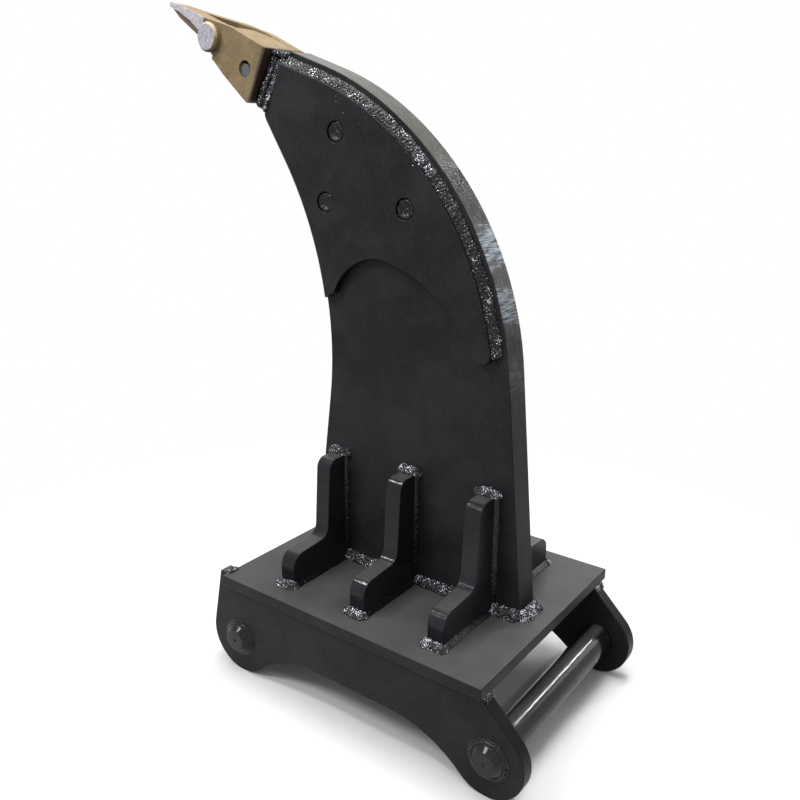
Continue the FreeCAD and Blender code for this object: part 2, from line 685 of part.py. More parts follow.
def gusset_bead(side, place, gusset, base_bead):
    """Fillets up both sides of a gusset's leg, over its crown and round its foot."""
    out = SIDES[side]
    label = "gusset_weld_%s_%s" % (side, place)
    leg = "Sizes.gusset_weld"
    mid = gusset_x(place)
    half = "Sizes.gusset_thick / 2"
    x_low, x_high = "(%s - %s - %s)" % (mid, half, leg), "(%s + %s + %s)" % (mid, half, leg)
    face = "Sizes.blade_thick / 2"
    tip = "(%s + Sizes.gusset_reach + %s)" % (face, leg)
    if out > 0:
        y, inset_y = ("(%s)" % face, tip), ("0", leg)
    else:
        y, inset_y = ("(-1 * %s)" % tip, "(-1 * %s)" % face), (leg, "0")
    foot = frustum(label + "_foot", (x_low, x_high), y, "0", leg, leg, inset_y)
    up = doc.addObject("Part::Wedge", label + "_leg")
    up.Ymin = 0
    up.setExpression("Ymax", leg)
    up.setExpression("Xmin", x_low)
    up.setExpression("Xmax", x_high)
    up.setExpression("X2min", x_low + " + " + leg)
    up.setExpression("X2max", x_high + " - " + leg)
    up.Zmin = 0
    up.Z2min = 0
    up.setExpression("Zmax", "Sizes.gusset_height + " + leg)
    up.setExpression("Z2max", "Sizes.gusset_height")
    if out < 0:
        up.Placement = Placement(Vector(), Rotation(Vector(0, 0, 1), 180))
        up.setExpression("Xmin", "-1 * " + x_high)
        up.setExpression("Xmax", "-1 * " + x_low)
        up.setExpression("X2min", "-1 * %s + %s" % (x_high, leg))
        up.setExpression("X2max", "-1 * %s - %s" % (x_low, leg))
    stand(up, y="%d * %s" % (out, face))
    return cut(label, fuse(label + "_beads", [foot, up]), [gusset, base_bead])


# Tooth, adapter and pin, all in the tooth's own frame

def make_adapter():
    """Weld-on adapter: a shoulder block on the blade's end and a tapered nose in the tooth."""
    body = tooth_frame_body("tooth_adapter")
    block = new_sketch(body, "YZ_Plane", "-Sizes.adapter_shoulder")
    draw_centred_rectangle(block, "2 * Sizes.adapter_half_width", "2 * Sizes.adapter_half_height")
    extrude(body, "Pad", block, "Sizes.adapter_stand_off - Sizes.adapter_shoulder", backwards=True)
    neck = new_sketch(body, "YZ_Plane")
    draw_centred_rectangle(neck, "2 * (Sizes.socket_half_width - Sizes.nose_fit)",
                           "2 * (Sizes.socket_half_height - Sizes.nose_fit)")
    extrude(body, "Pad", neck, "Sizes.adapter_shoulder", backwards=True)
    taper(body, "Additive", "0", "Sizes.nose_reach",
          nose_section("Sizes.socket_half_width", "Sizes.socket_half_height", "Sizes.nose_fit"),
          nose_section("Sizes.socket_end_half_width", "Sizes.socket_end_half_height", "Sizes.nose_fit"))
    bore = new_sketch(body, "XZ_Plane")
    draw_circle(bore, "Sizes.tooth_pin_x", "Sizes.tooth_pin_z",
                "Sizes.tooth_pin_radius + Sizes.adapter_bore_fit")
    extrude(body, "Pocket", bore, "4 * Sizes.tooth_half_width", both=True)
    recess = new_sketch(body, "XZ_Plane")
    draw_circle(recess, "Sizes.tooth_pin_x", "Sizes.tooth_pin_z",
                "Sizes.lock_ring_radius + Sizes.lock_ring_fit")
    extrude(body, "Pocket", recess, "Sizes.lock_ring_thick + 2 * Sizes.lock_ring_fit", both=True)
    return body


def nose_section(half_width, half_height, fit):
    """Section of the nose or, with no fit, of the socket around it."""
    return ("%s - %s" % (half_width, fit), "-1 * (%s - %s)" % (half_height, fit),
            "%s - %s" % (half_height, fit))


def make_adapter_weld():
    """Bead that slopes from the blade's and cheeks' end down to the adapter's shoulder."""
    body = tooth_frame_body("adapter_weld")
    rise, toe = "(Sizes.adapter_half_height + Sizes.adapter_weld_rise)", "Sizes.adapter_weld_toe"
    low_rise = "(Sizes.adapter_half_height + %s)" % toe
    taper(body, "Additive", "-Sizes.adapter_stand_off", "Sizes.adapter_weld_run",
          ("Sizes.adapter_half_width + Sizes.adapter_weld", "-1 * " + rise, rise),
          ("Sizes.adapter_half_width + " + toe, "-1 * " + low_rise, low_rise))
    core = new_sketch(body, "YZ_Plane", "-Sizes.adapter_stand_off")
    draw_centred_rectangle(core, "2 * Sizes.adapter_half_width", "2 * Sizes.adapter_half_height")
    extrude(body, "Pocket", core, "Sizes.adapter_stand_off", backwards=True)
    return body


def trim_plan(body, half_outline):
    """Cut away what lies outside an outline seen from above, given by (x, half width) points."""
    past = size("cut_past")
    (first_x, first_width), (last_x, last_width) = half_outline[0], half_outline[-1]
    run = [(first_x - past, first_width)] + half_outline[1:-1] + [(last_x, last_width), (last_x + past, last_width)]
    outline = [(x, y, 0) for x, y in run] + [(x, -y, 0) for x, y in reversed(run)]
    wide = 2 * max(y for x, y in run)
    sketch = new_sketch(body, "XY_Plane")
    draw(sketch, rectangle(first_x - 2 * past, last_x + 2 * past, -wide, wide))
    draw(sketch, rounded(outline))
    extrude(body, "Pocket", sketch, "4 * Sizes.tooth_low", both=True)


def add_keel(body):
    """Tapered rib under the wings, from the tooth's throat almost to its tip."""
    root, reach = size("tooth_throat_reach") - size("keel_root"), size("keel_reach")
    buried = size("wing_blade_low") + size("tooth_tip_low")
    side = new_sketch(body, "XZ_Plane")
    draw(side, rounded([
        (root, -size("tooth_throat_low"), 0), (size("tooth_throat_reach"), -size("tooth_throat_low"), 0),
        (size("keel_bend_reach"), -size("keel_bend_low"), 0),
        (size("keel_run_reach"), -size("keel_run_low"), 0), (reach, size("tooth_tip_low"), 0),
        (reach, size("tooth_tip_top") - size("tooth_tip_low"), 0), (root, buried + size("wing_root_low"), 0)]))
    extrude(body, "Pad", side, "2 * Sizes.keel_half_width", both=True)
    trim_plan(body, [(root, size("keel_half_width")), (size("tooth_throat_reach"), size("keel_half_width")),
                     (reach, size("keel_tip_half_width"))])


def make_tooth():
    """Cast tooth: boxy body, winged chisel on a keel, round bosses and a hollow on top."""
    body = tooth_frame_body("tooth")
    add_keel(body)
    throat, tip_low = size("tooth_throat_reach"), size("tooth_tip_low")
    side = new_sketch(body, "XZ_Plane")
    draw(side, rounded([
        (0, -size("tooth_low"), size("tooth_corner_radius")), (0, size("tooth_top"), 0),
        (size("tooth_crown_reach"), size("tooth_crown"), 0),
        (size("tooth_neck_reach"), size("tooth_neck_top"), 0),
        (size("tooth_reach"), size("tooth_tip_top"), 0), (size("tooth_reach"), tip_low, 0),
        (size("wing_blade_reach"), size("wing_blade_low"), 0),
        (size("tooth_neck_reach"), size("wing_root_low"), 0), (throat, -size("tooth_throat_low"), 0)]))
    extrude(body, "Pad", side, "2 * Sizes.wing_half_width", both=True)
    trim_plan(body, [
        (0, size("tooth_half_width")), (size("tooth_side_reach"), size("tooth_half_width")),
        (size("waist_reach"), size("waist_half_width")), (size("wing_reach"), size("wing_half_width")),
        (size("wing_bend_reach"), size("wing_bend_half_width")),
        (size("wing_end_reach"), size("wing_end_half_width")),
        (size("tooth_reach"), size("tooth_tip_half_width"))])
    add_bosses(body)
    cut_tooth_hollow(body)
    taper(body, "Subtractive", "0", "Sizes.nose_reach + Sizes.nose_fit",
          nose_section("Sizes.socket_half_width", "Sizes.socket_half_height", "0"),
          nose_section("Sizes.socket_end_half_width", "Sizes.socket_end_half_height", "0"))
    hole = new_sketch(body, "XZ_Plane")
    draw_circle(hole, "Sizes.tooth_pin_x", "(Sizes.tooth_pin_z + Sizes.tooth_hole_lift)",
                "Sizes.tooth_hole_radius")
    extrude(body, "Pocket", hole, "4 * Sizes.tooth_half_width", both=True)
    return body


def add_bosses(body):
    """Round wear boss on each side, with a chamfered rim."""
    disc = new_sketch(body, "XZ_Plane")
    draw_circle(disc, "Sizes.boss_x", "Sizes.boss_z", "Sizes.boss_radius")
    extrude(body, "Pad", disc, "2 * Sizes.boss_half_width", both=True)
    face, radius = size("boss_half_width"), size("boss_radius")
    tiny = 0.01

    def rim(edge):
        box = edge.BoundBox
        at_face = abs(abs(box.YMin) - face) < tiny and abs(box.YMax - box.YMin) < tiny
        return at_face and isinstance(edge.Curve, Part.Circle) and abs(edge.Curve.Radius - radius) < tiny

    finish_edges(body, "Chamfer", rim, "Sizes.boss_chamfer")


def cut_tooth_hollow(body):
    """Ramp between the top ribs, its pointed step and the deep end that runs out towards the tip."""
    start, step = size("ramp_start"), size("step_reach")
    over = size("tooth_top") + size("cut_past")
    ramp = new_sketch(body, "XZ_Plane")
    draw(ramp, rounded([
        (start, size("tooth_top"), 0), (size("ramp_bend_reach"), size("ramp_bend_z"), 0),
        (step, size("step_z"), 0), (step, over, 0), (start, over, 0)]))
    extrude(body, "Pocket", ramp, "2 * Sizes.hollow_half_width", both=True)
    share = size("step_point") / size("hollow_run")
    narrow = size("hollow_half_width") + share * (size("hollow_end_half_width") - size("hollow_half_width"))
    above = "Sizes.tooth_top + Sizes.cut_past"
    taper(body, "Subtractive", "Sizes.step_reach", "Sizes.step_point",
          ("Sizes.hollow_half_width", "Sizes.step_z", above), ("%.6f" % narrow, "Sizes.step_point_z", above))
    deep = new_sketch(body, "XY_Plane", "Sizes.hollow_floor")
    side = [(step, size("hollow_half_width"), 0), (step + size("hollow_run"), size("hollow_end_half_width"), 0)]
    draw(deep, rounded(side + [(x, -y, r) for x, y, r in reversed(side)] + [(step + size("step_point"), 0, 0)]))
    extrude(body, "Pocket", deep, above, backwards=True)


def make_tooth_pin():
    """Steel pin with sawn ends, sunk a little below the tooth's sides."""
    body = tooth_frame_body("tooth_pin")
    sketch = new_sketch(body, "XZ_Plane")
    draw_circle(sketch, "Sizes.tooth_pin_x", "Sizes.tooth_pin_z", "Sizes.tooth_pin_radius")
    extrude(body, "Pad", sketch, "2 * (Sizes.tooth_half_width - Sizes.tooth_pin_recess)", both=True)
    return body


def make_lock_ring():
    """Ring round the pin's middle, held in the adapter's inner recess."""
    body = tooth_frame_body("tooth_pin_retainer")
    sketch = new_sketch(body, "XZ_Plane")
    draw_circle(sketch, "Sizes.tooth_pin_x", "Sizes.tooth_pin_z", "Sizes.lock_ring_radius")
    draw_circle(sketch, "Sizes.tooth_pin_x", "Sizes.tooth_pin_z",
                "Sizes.tooth_pin_radius + Sizes.lock_ring_fit")
    extrude(body, "Pad", sketch, "Sizes.lock_ring_thick", both=True)
    return body


# Build every piece

blade = make_blade()
make_plate()
make_pin("front_pin", FRONT_PIN)
make_pin("rear_pin", REAR_PIN)
for side in SIDES:
    make_cheek(side)
    make_plugs(side)
    make_cheek_weld(side)
    make_ear(side)
    make_pin_welds(side)
    make_ear_welds(side)
PLACES = ("front", "middle", "rear")
gussets = {(side, place): make_gusset(side, place) for side in SIDES for place in PLACES}
base_bead = make_blade_base_weld(blade, list(gussets.values()))
for side in SIDES:
    group("gusset_welds_" + side,
          [gusset_bead(side, place, gussets[side, place], base_bead) for place in PLACES])
make_adapter()
make_adapter_weld()
make_tooth()
make_tooth_pin()
make_lock_ring()
doc.recompute()

# Centre the whole object on X = 0
box = FreeCAD.BoundBox()
for piece in PIECES:
    box.add(piece.Shape.BoundBox)
sheet.set(sheet.getCellFromAlias("stand_x"), str(-(box.XMin + box.XMax) / 2))
doc.recompute()

# Check every object and write each piece
for obj in doc.Objects:
    if "Invalid" in obj.State or "Error" in obj.State:
        raise RuntimeError("failed: " + obj.Name)
for piece in PIECES:
    shape = piece.Shape
    if shape.isNull() or not shape.isValid() or not shape.Solids:
        raise RuntimeError("bad shape: " + piece.Label)
    shape.exportStep("parts/%s.step" % piece.Label)
    print("%-24s solids %d volume %.0f" % (piece.Label, len(shape.Solids), shape.Volume))
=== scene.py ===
"""Looks for a ripper shank: painted plates, rippled weld beads, spatter and a worn cast tooth."""

import functools
import math

import bmesh
import bpy
import numpy as np
from mathutils import Matrix, Vector


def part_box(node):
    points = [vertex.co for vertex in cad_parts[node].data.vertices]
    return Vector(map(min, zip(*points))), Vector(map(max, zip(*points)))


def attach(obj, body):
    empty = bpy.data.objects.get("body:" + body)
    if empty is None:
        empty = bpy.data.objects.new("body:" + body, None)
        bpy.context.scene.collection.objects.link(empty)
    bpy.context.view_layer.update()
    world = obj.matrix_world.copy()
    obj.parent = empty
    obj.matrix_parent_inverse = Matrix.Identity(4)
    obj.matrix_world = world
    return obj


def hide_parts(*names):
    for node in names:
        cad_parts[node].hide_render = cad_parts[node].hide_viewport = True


bl_info = {
    "name": "Ripper Shank Looks",
    "version": (1, 0, 0),
    "blender": (4, 5, 0),
    "location": "View3D > Sidebar > Ripper",
    "description": "Paint, weld beads, spatter and wear for a ripper shank",
    "category": "Object",
}

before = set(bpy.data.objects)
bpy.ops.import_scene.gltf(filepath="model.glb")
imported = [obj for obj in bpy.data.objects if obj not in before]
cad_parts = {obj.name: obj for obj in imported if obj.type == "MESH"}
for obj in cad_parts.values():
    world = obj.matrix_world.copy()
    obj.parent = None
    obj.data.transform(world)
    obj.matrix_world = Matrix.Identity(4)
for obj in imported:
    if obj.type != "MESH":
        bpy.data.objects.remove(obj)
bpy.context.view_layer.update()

MM = 0.001
PLATE_LOW, PLATE_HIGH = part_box("base_plate")
# The plate's middle in X and its top in Z, from which every bead is placed
PLATE_X = (PLATE_LOW.x + PLATE_HIGH.x) / 2 / MM
PLATE_Z = PLATE_HIGH.z / MM
SIDES = {"near": -1.0, "far": 1.0}

# Sizes in millimetres that the beads share with the plates they join
BLADE_HALF = 20.0
CHEEK_THICK = 12.0
TOOTH_ROOT = (-249.0, 694.0)
TOOTH_ANGLE = math.radians(27.3)
ADAPTER_STAND_OFF = 26.0
OUTER_CORNER = np.array((124.5, 613.0))
OUTER_SLOPE = math.radians(19.0)
OUTER_RADIUS = 440.0
FOOT_REAR = np.array((185.0, 0.0))
FOOT_FRONT_X = -165.0
CHEEK_SETBACK = 18.0
CHEEK_BEAD_LOW_Z = 349.0
SPATTER_LOW_Z = 380.0
ADAPTER_HALF_WIDTH = 27.0
ADAPTER_HALF_HEIGHT = 38.0
ADAPTER_CORNER = 3.0
PLUGS = ((-116.0, 622.0), (-136.0, 531.0), (-2.0, 528.0))
PLUG_RADIUS = 14.0
PIN_X = (-200.5, 229.5)
PIN_Z = -101.0
PIN_RADIUS = 22.5
PIN_END_RADIUS = 17.0
EAR_FACE = 170.0
GUSSET_X = (-126.5, 1.5, 129.5)
GUSSET_THICK = 25.0
GUSSET_HEIGHT = 167.0
GUSSET_REACH = 120.0
EAR_REAR_TOP = 212.5
EAR_THICK = 20.0
PLATE_THICK = 16.0
HORN_X = -222.0
# Metres: the boss's face beside the tooth's middle, and the wing's side as (start, slope) lines
BOSS_SIDE = 0.0452
WING_LINES = ((0.0935, 0.408), (0.0606, 0.212))
# Metres above the ground on the blade's outer edge: the grinder's seam, the painted highlight
# patches as (low, high, strength), and half the height over which a patch fades
SEAM_Z = 0.738
PAINTED_HIGHLIGHT_PATCHES = ((0.622, 0.664, 0.8), (0.550, 0.590, 0.7), (0.470, 0.500, 0.2), (0.736, 0.741, 0.5))
PATCH_FADE = 0.008
# Metres above the ground between which the grinding and its painted highlights fade in
GRINDING_FADE = (0.40, 0.56)
# Metres along the tooth between which its painted keel shade and the steel of wing and tip fade in
KEEL_FADE = (0.113, 0.122)
WING_FADE = (0.108, 0.112)
TIP_FADE = (0.220, 0.228)
# The fitted camera: millimetres in the plate's frame, degrees round, down and rolled, and the
# focal length over the picture's width
CAMERA_PLACE = (629.8, -894.0, 609.1)
CAMERA_ANGLES = (36.474, 17.346, 0.303)
CAMERA_FOCAL = 824.6 / 800


def linear(hex_colour):
    """sRGB hex text to a linear colour with alpha one."""
    parts = [int(hex_colour[i:i + 2], 16) / 255 for i in (1, 3, 5)]
    return [p / 12.92 if p <= 0.04045 else ((p + 0.055) / 1.055) ** 2.4 for p in parts] + [1.0]


def place(points):
    """Points in the plate's frame, in millimetres, to the finished frame in metres."""
    return (np.asarray(points, float) + (PLATE_X, 0, PLATE_Z)) * MM


def tooth_point(along, side, across):
    """Tooth coordinates (towards the tip, sideways, outwards) to the plate's frame."""
    c, s = math.cos(TOOTH_ANGLE), math.sin(TOOTH_ANGLE)
    along, side, across = np.broadcast_arrays(*[np.asarray(v, float) for v in (along, side, across)])
    return np.stack((TOOTH_ROOT[0] - c * along + s * across, side,
                     TOOTH_ROOT[1] + s * along + c * across), -1)


# Surfaces

def waves(points, length, seed, count=14):
    """Smooth lumps of about the given length: a sum of sines along random directions."""
    rng = np.random.default_rng(seed)
    turn = rng.normal(size=(count, 3))
    pace = 2 * math.pi / length * rng.uniform(0.6, 1.5, (count, 1))
    turn *= pace / np.linalg.norm(turn, axis=1)[:, None]
    phase = rng.uniform(0, 2 * math.pi, count)
    return np.sin(points @ turn.T + phase).sum(-1) / math.sqrt(count / 2)


def resample(path, step):
    """A polyline at even steps of its length, with each point's distance from the start."""
    run = np.concatenate(([0], np.cumsum(np.linalg.norm(np.diff(path, axis=0), axis=1))))
    count = max(8, int(round(run[-1] / step)))
    at = np.linspace(0, run[-1], count + 1)
    return np.stack([np.interp(at, run, path[:, k]) for k in range(path.shape[1])], -1), at


def skin(name, grid, closed, material):
    """Mesh object from rows of points: each row is a closed section, rows follow a path."""
    rows, cols = grid.shape[:2]
    index = np.arange(rows * cols).reshape(rows, cols)
    ahead = np.roll(index, -1, 0) if closed else index[1:]
    here = index if closed else index[:-1]
    quads = np.stack((here, np.roll(here, -1, 1), np.roll(ahead, -1, 1), ahead), -1).reshape(-1, 4)
    points = grid.reshape(-1, 3)
    faces = quads.tolist()
    if not closed:
        faces += [index[0][::-1].tolist(), index[-1].tolist()]
    return finish_mesh(name, points, faces, material)


def finish_mesh(name, points, faces, material):
    """Mesh object in the finished frame, faces outwards, riding on the root."""
    mesh = bpy.data.meshes.new(name)
    mesh.from_pydata(place(points).tolist(), [], faces)
    bm = bmesh.new()
    bm.from_mesh(mesh)
    bmesh.ops.recalc_face_normals(bm, faces=bm.faces)
    bm.to_mesh(mesh)
    bm.free()
    mesh.polygons.foreach_set("use_smooth", [True] * len(mesh.polygons))
    piece = bpy.data.objects.new(name, mesh)
    bpy.context.scene.collection.objects.link(piece)
    mesh.materials.append(material)
    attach(piece, "root")
    return piece


def bead(path, side_a, side_b, leg_a, leg_b, seed, taper=4.0, pitch=4.2, ripple=0.5, lump=0.7,
         flat=1.35, cols=12, sway=1.0):
    """Rows of a fillet bead: from its corner line the section runs out by leg_a along side_a and
    by leg_b along side_b, joined by (cos^flat, sin^flat), and each leg wanders by up to about a
    tenth over 20 mm, times sway. Crescent ripples, one each pitch, lag behind in the middle of
    the bead, lumps move the skin in and out, and both ends thin out over the taper."""
    size = bpy.context.scene.ripper_sizes
    path, at = resample(path, size.bead_step / MM)
    a, b = [np.broadcast_to(np.asarray(v, float), path.shape) if np.ndim(v) == 1
            else np.stack([np.interp(np.linspace(0, 1, len(path)), np.linspace(0, 1, len(v)), v[:, k])
                           for k in range(3)], -1) for v in (side_a, side_b)]
    turn = np.linspace(0, math.pi / 2, cols)
    share_a, share_b = np.cos(turn) ** flat, np.sin(turn) ** flat
    ends = np.clip(np.minimum(at, at[-1] - at) / taper, 0.12, 1) ** 0.5
    toe_a = leg_a * ends * (1 + sway * (0.08 * waves(path, 22, seed) + 0.05 * waves(path, 7, seed + 1)))
    toe_b = leg_b * ends * (1 + sway * 0.05 * waves(path, 20, seed + 2))
    skin_points = (path[:, None] + a[:, None] * (toe_a[:, None] * share_a)[..., None]
                   + b[:, None] * (toe_b[:, None] * share_b)[..., None])
    out = a[:, None] * np.cos(turn)[:, None] + b[:, None] * np.sin(turn)[:, None]
    middle = np.sin(2 * turn)
    drift = 0.6 * waves(path, 18, seed + 3)
    wave = np.abs(np.sin(math.pi * (at[:, None] + drift[:, None] - 0.9 * pitch * middle) / pitch)) ** 0.7
    rise = (ripple * (wave - 0.5) + lump * 0.5 * waves(skin_points, 5.5, seed + 4)
            + lump * 0.28 * waves(skin_points, 2.6, seed + 5)) * (0.25 + 0.75 * middle) * ends[:, None]
    skin_points = skin_points + out * rise[..., None]
    root = path - (a + b) * 0.4
    return np.concatenate((skin_points, root[:, None]), 1)


def dots(name, centres, radii, normals, material):
    """Spatter: one low dome per centre, two rings of six and a crown."""
    rings = ((6, 1.0, -0.15), (6, 0.8, 0.45), (1, 0.0, 0.75))
    local = np.array([(r * math.cos(2 * math.pi * k / n), r * math.sin(2 * math.pi * k / n), h)
                      for n, r, h in rings for k in range(n)])
    normals = np.asarray(normals, float)
    helper = np.where(np.abs(normals[:, 2:]) > 0.9, (1.0, 0, 0), (0, 0, 1.0))
    tangent = np.cross(helper, normals)
    tangent /= np.linalg.norm(tangent, axis=1)[:, None]
    other = np.cross(normals, tangent)
    shape = (tangent[:, None] * local[None, :, :1] + other[:, None] * local[None, :, 1:2]
             + normals[:, None] * local[None, :, 2:])
    points = (np.asarray(centres)[:, None] + shape * np.asarray(radii)[:, None, None]).reshape(-1, 3)
    ring = [[k, (k + 1) % 6, (k + 1) % 6 + 6, k + 6] for k in range(6)]
    top = [[k + 6, (k + 1) % 6 + 6, 12] for k in range(6)]
    base = [[5, 4, 3, 2, 1, 0]]
    faces = [[v + 13 * i for v in face] for i in range(len(centres)) for face in ring + top + base]
    return finish_mesh(name, points, faces, material)


def rounded_copy(node, width, material, segments=2):
    """A CAD node with its flat faces rejoined and its sharp edges eased by a small bevel."""
    piece = bpy.data.objects.new(node + "_skin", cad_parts[node].data.copy())
    bpy.context.scene.collection.objects.link(piece)
    mesh = piece.data
    bm = bmesh.new()
    bm.from_mesh(mesh)
    bmesh.ops.remove_doubles(bm, verts=bm.verts, dist=2e-5)
    bmesh.ops.dissolve_limit(bm, angle_limit=math.radians(0.6), verts=bm.verts, edges=bm.edges)
    bmesh.ops.recalc_face_normals(bm, faces=bm.faces)
    bm.to_mesh(mesh)
    bm.free()
    if mesh.attributes.get("custom_normal"):
        mesh.attributes.remove(mesh.attributes["custom_normal"])
    mesh.polygons.foreach_set("use_smooth", [True] * len(mesh.polygons))
    mesh.materials.clear()
    mesh.materials.append(material)
    ease = piece.modifiers.new("eased edges", "BEVEL")
    ease.width = width
    ease.segments = segments
    ease.limit_method = "ANGLE"
    ease.angle_limit = math.radians(25)
    ease.harden_normals = True
    ease.use_clamp_overlap = True
    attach(piece, "root")
    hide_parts(node)
    return piece


# Materials

SMOOTH = {"interpolation_type": "SMOOTHSTEP"}
TIMES = {"operation": "MULTIPLY"}
LESS = {"operation": "SUBTRACT"}
LARGER = {"operation": "MAXIMUM"}
UNSIGNED = {"operation": "ABSOLUTE"}
COLOUR = {"data_type": "RGBA"}


def node(tree, kind, *values, out=0, **named):
    """Add a node and return one of its outputs, or all of them where out is None. Plain values
    fill the inputs that the node shows, in order. A named value with a capital letter goes to
    that input, with underscores for spaces, and any other sets a property. Text is a hex colour."""
    made = tree.nodes.new("ShaderNode" + kind)
    for name, value in named.items():
        if name[0].islower():
            setattr(made, name, value)
    filled = list(zip([socket for socket in made.inputs if socket.enabled], values))
    filled += [(made.inputs[name.replace("_", " ")], value)
               for name, value in named.items() if name[0].isupper()]
    for socket, value in filled:
        if isinstance(value, bpy.types.NodeSocket):
            tree.links.new(value, socket)
        else:
            socket.default_value = linear(value) if isinstance(value, str) else value
    shown = {socket.name: socket for socket in made.outputs if socket.enabled}
    if out is None:
        return shown
    return shown[out] if isinstance(out, str) else list(shown.values())[out]


def new_material(name):
    """Empty node material, the function that adds a node to it, and the object's own coordinates."""
    material = bpy.data.materials.new(name)
    material.use_nodes = True
    material.node_tree.nodes.clear()
    add = functools.partial(node, material.node_tree)
    return material, add, add("TexCoord", out="Object")


def seen_ray(add):
    """One for camera, glossy and transmission rays, which see the background as it shows."""
    path = add("LightPath", out=None)
    bent = add("Math", path["Is Glossy Ray"], path["Is Transmission Ray"], **LARGER)
    return add("Math", path["Is Camera Ray"], bent, **LARGER)


def enamel(name, dark, light, rough, level, extra=None):
    """Sprayed black machine enamel on steel plate: a dark satin skin with orange peel about 2 mm
    across, faint clouds of overspray, and grey dust with painted sheen where a face looks up. rough
    is the least and the greatest roughness, and extra adds what only one sort of piece shows."""
    material, add, where = new_material(name)
    clouds = add("TexNoise", where, 1 / (70 * MM), 5, 0.62)
    peel = add("TexNoise", where, 1 / (2.2 * MM), 2, 0.5)
    sag = add("TexNoise", where, 1 / (14 * MM), 2, 0.5)
    base = add("Mix", add("MapRange", clouds, 0.35, 0.68, **SMOOTH), dark, light, **COLOUR)
    base = add("Mix", add("MapRange", peel, 0.5, 0.75, 0.0, 0.2, **SMOOTH), base, "#524e55", **COLOUR)
    normal = add("SeparateXYZ", add("TexCoord", out="Normal"), out=None)
    # Faces that look up turn grey: partly dust, partly a painted sheen of the light from above
    looks_up = add("MapRange", normal["Z"], 0.86, 0.99, **SMOOTH)
    patchy = add("TexNoise", where, 1 / (80 * MM), 4, 0.6)
    dust_and_sheen = add("Math", looks_up, add("MapRange", patchy, 0.3, 0.7, 0.42, 0.62, **SMOOTH), **TIMES)
    base = add("Mix", dust_and_sheen, base, "#5c5b5a", **COLOUR)
    gloss = add("MapRange", clouds, 0.3, 0.7, *rough, **SMOOTH)
    height = add("Math", add("Math", peel, 0.12, **TIMES), add("Math", sag, 0.3, **TIMES))
    if extra:
        base, gloss, height = extra(add, where, normal, base, gloss, height)
    bump = add("Bump", Strength=0.3, Distance=0.0006, Height=height)
    add("OutputMaterial", add("BsdfPrincipled", Base_Color=base, Roughness=gloss, Normal=bump, IOR=1.5,
                              Specular_IOR_Level=level), out=None)
    return material


def cut_edges_with_painted_shade(add, where, normal, base, gloss, height):
    """Painted shade: darkens the flame-cut edges that look along the machine, as if out of the light."""
    edge = add("MapRange", add("Math", normal["X"], **UNSIGNED), 0.4, 0.75, **SMOOTH)
    # Painted shade on the faces that look along the machine
    return add("Mix", edge, base, "#0f0e10", **COLOUR), gloss, height


def grinder_marks_and_painted_highlights(add, where, normal, base, gloss, height):
    """Strokes of a grinder across the blade's outer edge under thin olive-black paint, with painted
    sheen making it greyer above the seam where two runs of the grinder meet, painted highlights
    brightest in two patches below it, and all of it fading out towards the foot."""
    base, gloss, height = cut_edges_with_painted_shade(add, where, normal, base, gloss, height)
    # The outer edge looks back and up
    outwards = add("Math", add("Math", normal["X"], 0.8, **TIMES), add("Math", normal["Z"], 0.6, **TIMES))
    edge = add("MapRange", outwards, 0.45, 0.62, **SMOOTH)
    # Height above the ground, wandering by about 10 mm so that no patch ends in a straight line
    rise = add("SeparateXYZ", where, out="Z")
    wander = add("Math", add("TexNoise", where, 1 / (16 * MM), 3), 0.5, **LESS)
    ragged = add("Math", rise, add("Math", wander, 0.05, **TIMES))
    # Strokes 1.5 mm apart run across the blade, and drag lines 2.2 mm apart run down it
    across = add("Mapping", where, Scale=(1, 0.06, 1))
    along = add("Mapping", where, Scale=(0.12, 1, 0.12))
    strokes = add("MapRange", add("TexNoise", across, 1 / (1.5 * MM), 3, 0.65), 0.40, 0.64, **SMOOTH)
    drags = add("MapRange", add("TexNoise", along, 1 / (2.2 * MM), 3, 0.6), 0.48, 0.66, **SMOOTH)
    mottle = add("MapRange", add("TexNoise", where, 1 / (38 * MM), 3, 0.6), 0.38, 0.62, **SMOOTH)
    upper = add("MapRange", ragged, SEAM_Z, SEAM_Z + 0.006, **SMOOTH)
    olive = add("Mix", mottle, "#1a1b18", "#35362f", **COLOUR)
    # Painted sheen: the part above the seam, which looks up towards the light, is greyer
    olive = add("Mix", add("Math", upper, 0.75, **TIMES), olive, "#54554d", **COLOUR)
    olive = add("Mix", add("Math", drags, 0.45, **TIMES), olive, "#6f7173", **COLOUR)
    # Painted highlights: bright bluish patches where the outer edge would mirror the lamps
    for low, high, share in PAINTED_HIGHLIGHT_PATCHES:
        above = add("MapRange", ragged, low - PATCH_FADE, low + PATCH_FADE, **SMOOTH)
        below = add("MapRange", ragged, high - PATCH_FADE, high + PATCH_FADE, 1.0, 0.0, **SMOOTH)
        patch = add("Math", above, below, **TIMES)
        bright = add("Math", add("Math", patch, strokes, **TIMES), share, **TIMES)
        olive = add("Mix", bright, olive, "#bac6d6", **COLOUR)
    here = add("Math", edge, add("MapRange", rise, *GRINDING_FADE, 0.06, 1.0, **SMOOTH), **TIMES)
    scored = add("Math", add("Math", strokes, here, **TIMES), 0.35, **TIMES)
    base = add("Mix", here, base, olive, **COLOUR)
    return base, add("Mix", here, gloss, 0.26), add("Math", height, scored)


def torch_ripples(add, where, normal, base, gloss, height):
    """Drag lines of the cutting torch across a gusset's ribbon edge, and thicker, glossier paint."""
    ribbon = add("MapRange", add("Math", normal["X"], **UNSIGNED), 0.3, 0.6, 1.0, 0.0, **SMOOTH)
    across = add("Mapping", where, Scale=(0.1, 1, 1))
    lines = add("Math", add("TexNoise", across, 1 / (2.6 * MM), 2, 0.6), ribbon, **TIMES)
    return base, add("Mix", ribbon, gloss, 0.12), add("Math", height, add("Math", lines, 1.6, **TIMES))


